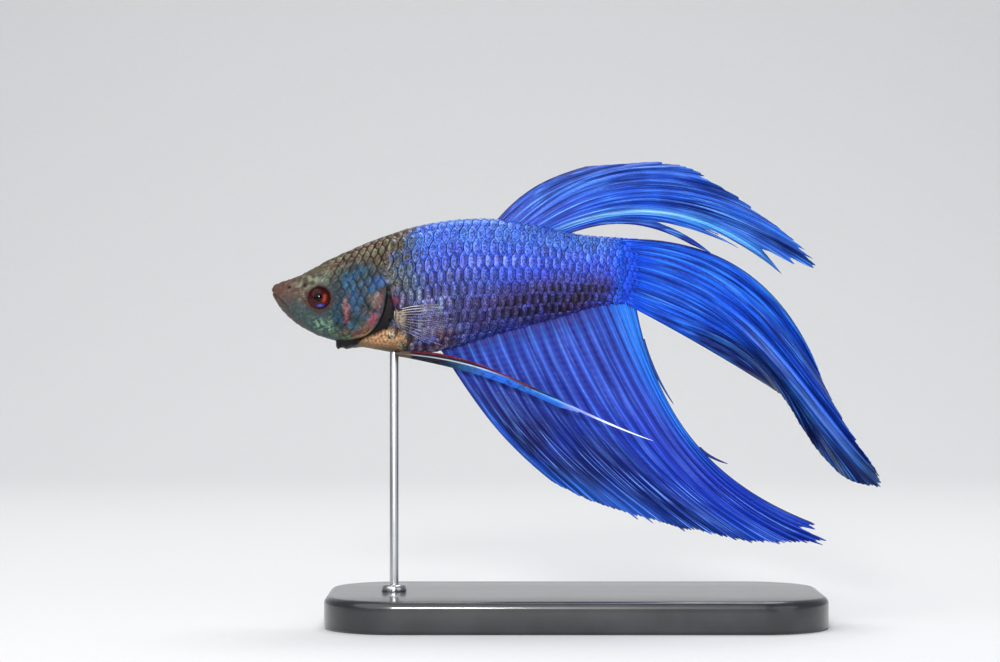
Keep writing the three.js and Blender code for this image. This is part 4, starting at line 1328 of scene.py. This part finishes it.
def fin_reach(fin, u):
    """Share of each ray that the web reaches: the margin's reach, less teeth of random length that also
    follow a broader random wave, and the strands, which run on alone as spikes."""
    margin = np.array(fin["margin"])
    web, depth = (np.interp(u, margin[:, 0], margin[:, k]) for k in (1, 2))
    teeth, seed = fin["teeth"]
    rng = np.random.default_rng(seed)
    tall = rng.uniform(0.0, 1.0, teeth + 1) ** 1.5
    spike = np.clip(tall - 0.8, 0, 1) * 5
    every_fourth = np.arange(0, teeth + 8, 4)
    broad = np.interp(np.arange(teeth + 1), every_fourth, rng.uniform(0, 1, len(every_fourth)))
    place = u * teeth
    own = np.clip(np.floor(place).astype(int), 0, teeth)
    notch = np.abs(2 * (place % 1) - 1) ** 1.4
    ragged = 0.4 * notch + 0.35 * (1 - tall[own]) + 0.4 * broad[own] - 0.35
    short = ragged - 0.6 * spike[own] * (1 - notch) ** 2
    reach = web - depth * short / ray_length(fin, u)
    for middle, tip, half, sharp in fin["strands"]:
        near = np.clip(1 - np.abs(u - middle) / half, 0, 1)
        reach = np.maximum(reach, np.where(near > 0, reach + (tip - reach) * near**sharp, reach))
    return reach


def fin_normal(fin, u, v):
    """Unit normals of the fin's middle surface, from small steps across and along the rays."""
    across = fin_middle(fin, u + 0.0008, v) - fin_middle(fin, u - 0.0008, v)
    along = fin_middle(fin, u, v + 0.004) - fin_middle(fin, u, v - 0.004)
    return unit(np.cross(across, along))


def fin_sheet(fin):
    """Points, faces, ray map and bake map of a fin's web: a thin closed sheet, thick at its fleshy root
    and ridged along its rays."""
    u = np.linspace(0, 1, fin["columns"])[:, None]
    reach = fin_reach(fin, u)
    rows = np.linspace(0, 1, fin["rows"])[None, :]
    v = -fin["sink"] + rows * (reach + fin["sink"])
    middle = fin_middle(fin, u, v)
    normal = fin_normal(fin, u, v)
    turned = normal[..., 1].mean() > 0
    if turned:
        normal = -normal
    ridge = bump(fork_distance(fin, u, v), RAY_WIDTH)
    thin_out = 1 - 0.6 * np.clip(v, 0, 1)
    deep, fall = fin["root"]
    root = deep * (0.75 + 0.5 * ridge) * np.exp(-np.clip(v, 0, None) * ray_length(fin, u) / fall)
    half = (WEB_HALF + RAY_HALF * ridge * thin_out + root)[..., None]
    front, back = middle + normal * half, middle - normal * half
    faces = sheet_faces(fin["columns"], fin["rows"])
    if turned:
        faces = faces[:, ::-1]
    points = np.concatenate([front.reshape(-1, 3), back.reshape(-1, 3)])
    ray_map = together(u * fin["count"], v).reshape(-1, 2)
    flat = together(0.01 + 0.98 * u, 0.01 + 0.475 * rows).reshape(-1, 2)
    return {
        "points": points, "faces": faces, "u": np.tile(np.broadcast_to(u, v.shape).ravel(), 2),
        "v": np.tile(v.ravel(), 2), "rays": np.concatenate([ray_map, ray_map]),
        "bake": np.concatenate([flat, flat + [0, 0.505]]),
    }


def filament(fin, u, start, end, width, swing=(0, 0, 0)):
    """A free ray: a tapering rod of oval section that follows the fin's ray at u from start to end,
    swung off it as it goes, by `swing` at its tip."""
    s = np.linspace(0, 1, ROD_STATIONS)
    v = start + (end - start) * s
    line = fin_middle(fin, np.full(ROD_STATIONS, u), v)
    line = line + s[:, None] ** 1.5 * np.array(swing)
    along = unit(np.gradient(line, axis=0))
    side = unit(np.cross(along, [0.0, 1.0, 0.0]))
    out = ROD_FLATNESS * np.cross(side, along)
    turn = full_turn(ROD_SIDES)
    size = (width[0] + (width[1] - width[0]) * s) / 2 * np.sqrt(np.clip(1 - s**10, 0.02, 1))
    ring = side[:, None] * np.cos(turn)[None, :, None] + out[:, None] * np.sin(turn)[None, :, None]
    points = line[:, None] + ring * size[:, None, None]
    every = np.concatenate([points.reshape(-1, 3), line[:1], line[-1:] + along[-1:] * 0.05])
    reached = np.concatenate([np.repeat(v, ROD_SIDES), v[:1], v[-1:]])
    return every, barrel_faces(ROD_STATIONS, ROD_SIDES), np.full(len(every), u), reached


def join_fin(name, fin, free_rays, tint_at, material, nodes):
    """A fin's web and its free rays as one piece. On the bake map the web's front fills the lower half
    and its back the upper one, with the free rays in the strip between."""
    web = fin_sheet(fin)
    points, quads, tris = [web["points"]], [web["faces"]], []
    u, v, bake, rays = [web["u"]], [web["v"]], [web["bake"]], [web["rays"]]
    total = len(web["points"])
    for n, (place, start, end, width, swing) in enumerate(free_rays):
        rod, faces, across, reached = filament(fin, place, start, end, width, swing)
        quads.append(faces[0] + total)
        tris += [f + total for f in faces[1:]]
        points.append(rod)
        u.append(across)
        v.append(reached)
        rays.append(together(0.5, reached))
        bake.append(together(0.02 + 0.9 * (reached - start) / (end - start), 0.4925 + 0.0012 * n))
        total += len(rod)
    every = np.concatenate(points)
    colours = tint_at(np.concatenate(u), np.concatenate(v), every)
    faces = [np.concatenate(quads)] + ([np.concatenate(tris)] if tris else [])
    return place_mesh(name, every, faces, material, nodes,
                      point_maps={"OFBake": np.concatenate(bake), "Rays": np.concatenate(rays)},
                      colours=colours)


def with_threads(colours, share):
    """A fin's colours with the strength of its pale threads as alpha."""
    return np.column_stack([colours, np.clip(share, 0, 1)])


def dorsal_tint(u, v, points):
    """Violet-navy along the front, brighter blue behind, an azure streak low on its rear rays with a painted
    highlight near the root.
    """
    cloud = ripple(points, 4.0, 40)
    colours = paint((22, 72, 200), [
        ((62, 108, 204), (1 - step(0.15, 0.5, u)) * (0.75 + 0.2 * cloud)),
        ((40, 62, 160), (1 - step(0.02, 0.2, u)) * 0.6),
        ((30, 104, 232), step(0.35, 0.5, u) * (1 - step(0.58, 0.68, u)) * (0.5 + 0.3 * cloud)),
        ((10, 26, 104), bump(u - 0.6, 0.06) * step(0.35, 0.6, v) * 0.95),
        ((16, 30, 110), bump(u - 0.4, 0.03) * step(0.4, 0.6, v) * 0.7),
        ((90, 184, 255), bump(u - 0.76, 0.07) * (1 - 0.5 * step(0.5, 0.9, v))),
        # Painted highlight: a near-white glint along the azure streak near the root.
        ((180, 236, 255), bump(u - 0.755, 0.035) * step(0.0, 0.15, v) * (1 - step(0.4, 0.66, v)) * 0.9),
        ((40, 130, 240), bump(u - 0.84, 0.05) * 0.6),
        ((16, 40, 140), step(0.89, 0.95, u) * 0.85),
        ((74, 84, 190), (1 - step(0.05, 0.3, v)) * 0.4),
        ((14, 28, 92), (1 - step(0.0, 0.03, u)) * 0.8),
        ((40, 130, 240), step(0.9, 1.0, v) * step(0.1, 0.3, u) * 0.6),
    ])
    return with_threads(colours, 0.35 + 0.65 * step(0.2, 0.5, u))


def caudal_tint(u, v, points):
    """Bright blue above and along the fold to the tip, with a painted highlight on the fold's ridge, dark
    navy in the lower lobe, and bands of painted shade and highlight across the rays as on lit folds."""
    cloud = ripple(points, 4.0, 41)
    # Painted shade and highlight: a wave across the rays that darkens and brightens bands as folds would be
    # lit.
    fold_bands = np.sin(TAU * 11 * u + 1.4 * np.sin(TAU * 3 * u) + 0.5 * cloud)
    spread = step(0.03, 0.14, v) * (1 - 0.5 * step(0.5, 0.8, v))
    colours = paint((16, 86, 236), [
        ((18, 104, 250), (1 - step(0.1, 0.5, u)) * (0.5 + 0.3 * cloud)),
        ((22, 40, 140), bump(u - 0.2, 0.08) * step(0.45, 0.75, v) * 0.8),
        ((16, 60, 180), step(0.5, 0.9, v) * (1 - step(0.35, 0.45, u)) * 0.6),
        ((14, 20, 78), step(0.5, 0.6, u) * step(0.34, 0.6, v) * 0.95),
        # Painted highlight along the ridge of the fold.
        ((124, 166, 250), bump(u - 0.45, 0.04) * step(0.3, 0.5, v) * (1 - step(0.85, 1.0, v))),
        ((10, 18, 84), bump(u - 0.53, 0.03) * step(0.3, 0.6, v) * 0.85),
        ((10, 22, 104), bump(u - 0.33, 0.03) * step(0.3, 0.6, v) * 0.8),
        ((16, 22, 84), step(0.66, 0.86, u) * step(0.22, 0.5, v) * 0.9),
        ((20, 96, 236), (1 - step(0.1, 0.5, v)) * (0.5 + 0.3 * cloud)),
        # The bands of painted shade, then of painted highlight.
        ((8, 24, 112), step(0.3, 0.95, fold_bands) * spread * 0.55),
        ((50, 132, 250), step(0.4, 0.95, -fold_bands) * spread * 0.4),
        ((60, 150, 230), (1 - step(0, 0.05, u)) * step(0.35, 0.7, v) * 0.7),
        ((10, 18, 70), (1 - step(0, 0.04, u)) * (1 - step(0.3, 0.5, v)) * 0.8),
        ((36, 46, 62), step(0.8, 0.98, v) * step(0.3, 0.42, u) * 0.95),
    ])
    return with_threads(colours, 0.7 + 0.3 * cloud)


def anal_tint(u, v, points):
    """Violet-blue near the body, where pale rays stand on dark webs, azure along its rear edge, darker
    towards the front."""
    cloud, fleck = ripple(points, 5.0, 42), ripple(points, 0.8, 43)
    beam = 1 - step(0.06, 0.3, fork_distance(ANAL, u, v))
    striped = (1 - step(0.24, 0.55, v)) * (1 - 0.9 * step(0.66, 0.86, u))
    foot = 1 - step(0.6, 0.8, u)
    colours = paint((14, 62, 202), [
        ((42, 78, 188), (1 - step(0.02, 0.4, v)) * 0.8),
        ((12, 20, 78), (1 - step(0.15, 0.6, u)) * step(0.08, 0.3, v) * (0.85 + 0.3 * cloud)),
        ((30, 138, 255), step(0.7, 0.95, u) * (1 - step(0.35, 0.7, v)) * 0.9),
        ((70, 84, 206), bump(u - 0.78, 0.12) * bump(v - 0.5, 0.25) * 0.6),
        ((12, 22, 86), bump(u - 0.42, 0.16) * step(0.3, 0.6, v) * 0.85),
        ((26, 40, 144), (1 - beam) * striped * 0.62),
        ((92, 128, 226), beam * striped * 0.4),
        ((62, 52, 124), (1 - step(0.01, 0.09, v)) * foot * (0.8 + 0.4 * fleck)),
        ((24, 84, 168), beam * bump(v - 0.06, 0.03) * foot * 0.7),
        ((24, 84, 204), step(0.8, 1.0, v) * (1 - step(0.6, 0.85, u)) * 0.6),
        ((30, 100, 226), (1 - step(0, 0.08, u)) * step(0.2, 0.6, v) * 0.8),
        ((50, 124, 240), step(0.7, 0.98, v) * (1 - step(0.12, 0.42, u)) * 0.7),
        ((10, 20, 84), step(0.982, 0.992, u) * 0.85),
    ])
    return with_threads(colours, step(0.3, 0.6, v - 0.25 * u))


def pelvic_tint(u, v, points):
    """A white leading ray that runs out as a long pale thread, black then bright blue beneath it, and a
    red strip above."""
    x = points[:, 0]
    fleck = ripple(points, 0.5, 46)
    return paint((36, 104, 222), [
        ((30, 92, 130), (1 - step(-15, -10, x))),
        ((12, 14, 20), (1 - step(-17, -13, x))),
        ((20, 18, 50), step(0.58, 0.64, u)),
        ((118, 28, 42), step(0.76, 0.88, u) * (1 - step(-6.5, -4.5, x))),
        ((206, 214, 222), bump(u - 0.53, 0.045) * (1 - 0.8 * step(-12, -8, x))),
        ((90, 170, 250), bump(u - 0.5, 0.2) * step(-10, -4, x) * 0.7),
        ((12, 26, 84), (1 - step(0.4, 0.48, u)) * step(0.0, 0.8, fleck) * (1 - step(-8, -3, x)) * 0.6),
        ((128, 140, 236), step(-2.5, 0.5, x)),
        ((232, 238, 246), step(1.0, 4.5, x)),
        ((120, 104, 90), (1 - step(-20.8, -20.2, x)) * 0.8),
    ])


def pectoral_tint(u, v, points):
    """Grey-violet web on a cream root."""
    fine = ripple(points, 0.5, 45)
    return paint((62, 50, 92), [
        ((96, 88, 84), 1 - step(0.1, 0.4, v)),
        ((84, 72, 66), 1 - step(0.06, 0.16, v)),
        ((206, 196, 170), (1 - step(0.04, 0.2, v)) * (1 - step(0.3, 0.6, u + 0.1 * fine))),
        ((120, 104, 86), (1 - step(0.02, 0.1, v)) * step(0.1, 0.6, -fine) * 0.6),
        ((110, 190, 226), step(0.75, 0.95, v) * (1 - step(0.1, 0.35, u))),
    ])


def mirrored(fin):
    """The same fin on the fish's right side."""
    flip = np.array([1, 1, 1, 1, 1, 1, -1, -1])
    return {**fin, "rays": [tuple(np.array(r) * flip) for r in fin["rays"]]}


def add_fins():
    """The three veils, and on each side a pelvic ribbon and a pectoral fan."""
    dorsal = fin_material("dorsal_veil", DORSAL["forks"], 0.16, rgba(96, 164, 255), rgba(8, 20, 92), 0.85,
                          0.7, 0.6)
    caudal = fin_material("tail_veil", CAUDAL["forks"], 0.16, rgba(70, 150, 255), rgba(4, 18, 96), 0.95,
                          0.5, 0.6)
    anal = fin_material("anal_veil", ANAL["forks"], 0.1, rgba(104, 156, 255), rgba(10, 18, 96), 1.0,
                        1.0, 0.3)
    # Free rays: place across, start, end, width at root and tip, swing at the tip.
    join_fin("veil_dorsal", DORSAL, [], dorsal_tint, dorsal, ["fin_dorsal"])
    join_fin("veil_caudal", CAUDAL, [], caudal_tint, caudal, ["fin_caudal"])
    join_fin("veil_anal", ANAL, [
        (0.992, 0.12, 0.36, (0.5, 0.16), (0.5, -0.4, 0.2)),
        (0.992, 0.54, 0.66, (0.5, 0.16), (0.6, -0.3, 1.0)),
    ], anal_tint, anal, ["fin_anal"])
    leading_ray = (0.5, 0.5, 1.0, (0.46, 0.14), (0, 0, 0))
    ribbon, clear = ribbon_material(), clear_fin_material()
    for word, turned in (("left", False), ("right", True)):
        pelvic, pectoral = (mirrored(f) if turned else f for f in (PELVIC, PECTORAL))
        join_fin(f"ribbon_pelvic_{word}", pelvic, [leading_ray], pelvic_tint, ribbon,
                 [f"fin_pelvic_{word}"])
        join_fin(f"fan_pectoral_{word}", pectoral, [], pectoral_tint, clear,
                 [f"fin_pectoral_{word}"])


# ---- Eyes ----
def eyeball(side, material):
    """An ellipsoid turned about the axis that looks out sideways, in rings from the pupil's middle to
    the hidden back; the cornea bulges a little over the pupil. `out` is the distance from the pupil's
    middle over the eye's radius."""
    rings, sides = 59, 96
    polar = np.linspace(0, 1, rings + 2)[1:-1] * np.pi
    turn = full_turn(sides)
    radius = EYE_RADIUS * np.sin(polar)[:, None]
    deep = (EYE_DEPTH * np.cos(polar) + CORNEA * bump(polar, 0.5))[:, None]
    ring = together(radius * np.cos(turn), -side * deep, radius * np.sin(turn))
    poles = np.array([[0, -side * (EYE_DEPTH + CORNEA), 0], [0, side * EYE_DEPTH, 0]])
    middle = EYE_MIDDLE * [1, side, 1]
    points = np.concatenate([ring.reshape(-1, 3), poles]) + middle
    faces = barrel_faces(rings, sides)
    if side < 0:
        faces = [f[:, ::-1] for f in faces]
    x, z = points[:, 0] - middle[0], points[:, 2] - middle[2]
    out = np.hypot(x + 0.12, z - 0.1) / EYE_RADIUS
    tail_side = np.cos(np.arctan2(z, x) + 0.1)
    colours = paint((58, 15, 18), [
        ((70, 34, 30), bump(out - 0.92, 0.12)),
        ((128, 38, 20), step(0.4, 1.0, tail_side) * bump(out - 0.56, 0.16)),
        ((168, 62, 32), step(0.75, 1.0, tail_side) * bump(out - 0.56, 0.08) * 0.8),
        ((30, 10, 10), step(-0.2, 0.9, np.cos(np.arctan2(z, x) - 1.7)) * bump(out - 0.75, 0.25) * 0.6),
        # Painted sheen: a blue oval low on the iris, brighter in its middle.
        ((40, 52, 132), oval(x, z, (0.2, -0.96), (0.5, 0.22), 0.6)),
        ((96, 110, 196), oval(x, z, (0.16, -0.94), (0.26, 0.1), 0.7) * 0.8),
        ((2, 1, 2), 1 - step(0.3, 0.42, out)),
    ])
    hidden = points[:, 1] * -side < middle[1] * -side
    colours[hidden] = linear(70, 30, 26)
    iris = np.stack([np.arctan2(z, x) / TAU + 0.5, out], -1)
    word = "left" if side > 0 else "right"
    return place_mesh(f"eyeball_{word}", points, faces, material, [f"eye_{word}"],
                      point_maps={"Iris": iris}, colours=colours)


# ---- Stand ----
def turned_piece(name, profile, middle, sides, material, nodes=()):
    """A piece turned on a lathe about an upright axis: the profile lists (radius, height) upwards from
    the axis to the axis."""
    turn = full_turn(sides)
    profile = np.asarray(profile, float)
    radius, height = profile[1:-1, :1], profile[1:-1, 1:]
    ring = together(radius * np.cos(turn), radius * np.sin(turn), height)
    poles = np.array([[0, 0, profile[0, 1]], [0, 0, profile[-1, 1]]])
    points = np.concatenate([ring.reshape(-1, 3), poles]) + [*middle, 0]
    return place_mesh(name, points, barrel_faces(len(radius), sides), material, nodes)


def stand_plate(material):
    """The base: a rounded rectangle carried up a profile with quarter rounds at its foot and its top.
    Each ring lies `inset` within the outline, at its own height."""
    low, high = box_mm("stand_base")
    corner, foot, rim, sides = 9.0, 0.5, 0.9, 160
    turn = full_turn(sides)
    x = np.sign(np.cos(turn)) * (high[0] - corner) + corner * np.cos(turn)
    y = np.sign(np.sin(turn)) * (high[1] - corner) + corner * np.sin(turn)
    quarter = np.linspace(0, np.pi / 2, 7)
    sine, cosine = np.sin(quarter), np.cos(quarter)
    inset = np.concatenate([[0.9 * corner], foot - foot * sine, rim - rim * cosine, [0.9 * corner]])
    height = np.concatenate([[low[2]], low[2] + foot - foot * cosine, high[2] - rim + rim * sine, [high[2]]])
    inward = inset[:, None]
    rings = together(x - inward * np.cos(turn), y - inward * np.sin(turn), height[:, None])
    points = np.concatenate([rings.reshape(-1, 3), [[0, 0, low[2]], [0, 0, high[2]]]])
    return place_mesh("stand_plate", points, barrel_faces(len(inset), sides), material,
                      ["stand_base"])


def add_stand():
    """Plate, rod and the collar that covers the rod's hole in the plate."""
    steel = steel_material()
    stand_plate(plate_material())
    low, high = box_mm("stand_rod")
    middle = (low + high)[:2] / 2
    radius, foot, top = (high[0] - low[0]) / 2, low[2], high[2]
    rod = [(0, foot), (radius, foot), (radius, foot + 0.5), (radius, top - 0.4), (0.7 * radius, top),
           (0, top)]
    turned_piece("stand_post", rod, middle, 40, steel, ["stand_rod"])
    plate = box_mm("stand_base")[1][2]
    waist, rounding, sunk, wall = 1.05, 0.5, 0.3, 0.35
    arc = np.linspace(0, np.pi / 2, 6)
    dome = [(waist + rounding * np.cos(a), plate + wall + rounding * np.sin(a)) for a in arc]
    wide, crown = waist + rounding, plate + wall + rounding
    collar = [(0, plate - sunk), (wide, plate - sunk), *dome, (radius, crown), (0, crown)]
    turned_piece("stand_collar", collar, middle, 48, steel)


# ---- Studio ----
def floor_piece():
    """A pale sweep: a flat floor that curves up into a backdrop well behind the model."""
    half, front, bend, radius, height = 4.0, -4.0, 0.35, 0.4, 1.6
    turn = np.linspace(0, np.pi / 2, 24)
    depth = np.concatenate([[front], bend + radius * np.sin(turn), [bend + radius]])
    rise = np.concatenate([[0], radius - radius * np.cos(turn), [height]])
    points = together(np.array([[-half], [half]]), depth, rise)
    mesh = bpy.data.meshes.new("studio_sweep")
    quads = grid_quads(2, len(depth))[:, ::-1]
    mesh.from_pydata(points.reshape(-1, 3).tolist(), [], quads.tolist())
    mesh.polygons.foreach_set("use_smooth", np.ones(len(quads), bool))
    material, tree, shader = new_material("studio_paper", {"Roughness": 0.85})
    grain = noise(tree, place_of(tree), 900.0, 3.0)
    feed(tree, shader, "Base Color", mix(tree, grain, rgba(222, 223, 224), rgba(228, 228, 228)))
    mesh.materials.append(material)
    sweep = bpy.data.objects.new("studio_sweep", mesh)
    bpy.context.scene.collection.objects.link(sweep)


def area_light(name, place, target, size, power, colour=(1, 1, 1)):
    """A round soft light that faces its target; places in metres."""
    light = bpy.data.lights.new(name, "AREA")
    light.shape, light.size, light.energy, light.color = "DISK", size, power, colour
    lamp = bpy.data.objects.new(name, light)
    lamp.location = place
    lamp.rotation_euler = (Vector(target) - Vector(place)).to_track_quat("-Z", "Y").to_euler()
    bpy.context.scene.collection.objects.link(lamp)


def add_studio():
    """Floor, four lights round the model and a dim even sky."""
    floor_piece()
    target = (0, 0, 0.035)
    area_light("key", (-0.05, -0.55, 0.2), target, 0.1, 2.0, (1.0, 0.985, 0.96))
    area_light("soft", (-0.3, -0.4, 0.5), target, 1.0, 3.4, (1.0, 0.99, 0.97))
    area_light("fill", (0.45, -0.45, 0.2), target, 0.5, 0.6, (0.93, 0.96, 1.0))
    area_light("top", (0.05, 0.25, 0.6), target, 0.35, 2.2)
    world = bpy.data.worlds.new("studio")
    world.use_nodes = True
    sky = world.node_tree.nodes["Background"]
    sky.inputs["Color"].default_value = (0.86, 0.9, 1.0, 1)
    sky.inputs["Strength"].default_value = 0.25
    bpy.context.scene.world = world
    bpy.context.scene.view_settings.view_transform = "Standard"


def add_camera():
    """Level and square to the fish's left side, with a frame 125 mm wide at the fish's middle plane."""
    lens, sensor, frame_width = 105, 36, 0.125
    camera = bpy.data.cameras.new("camera")
    camera.lens, camera.sensor_width = lens, sensor
    camera.clip_start, camera.clip_end = 0.01, 20
    holder = bpy.data.objects.new("camera", camera)
    aim_x, aim_z = SNOUT_X + 28.525, SNOUT_Z - 5.0
    holder.location = (aim_x * MM, -frame_width * lens / sensor, aim_z * MM)
    holder.rotation_euler = (np.pi / 2, 0, 0)
    bpy.context.scene.collection.objects.link(holder)
    bpy.context.scene.camera = holder


add_camera()
skin_piece(skin_material())
add_scales()
add_fins()
eye_glaze = eye_material()
for eye_side in (1, -1):
    eyeball(eye_side, eye_glaze)
add_stand()
add_studio()
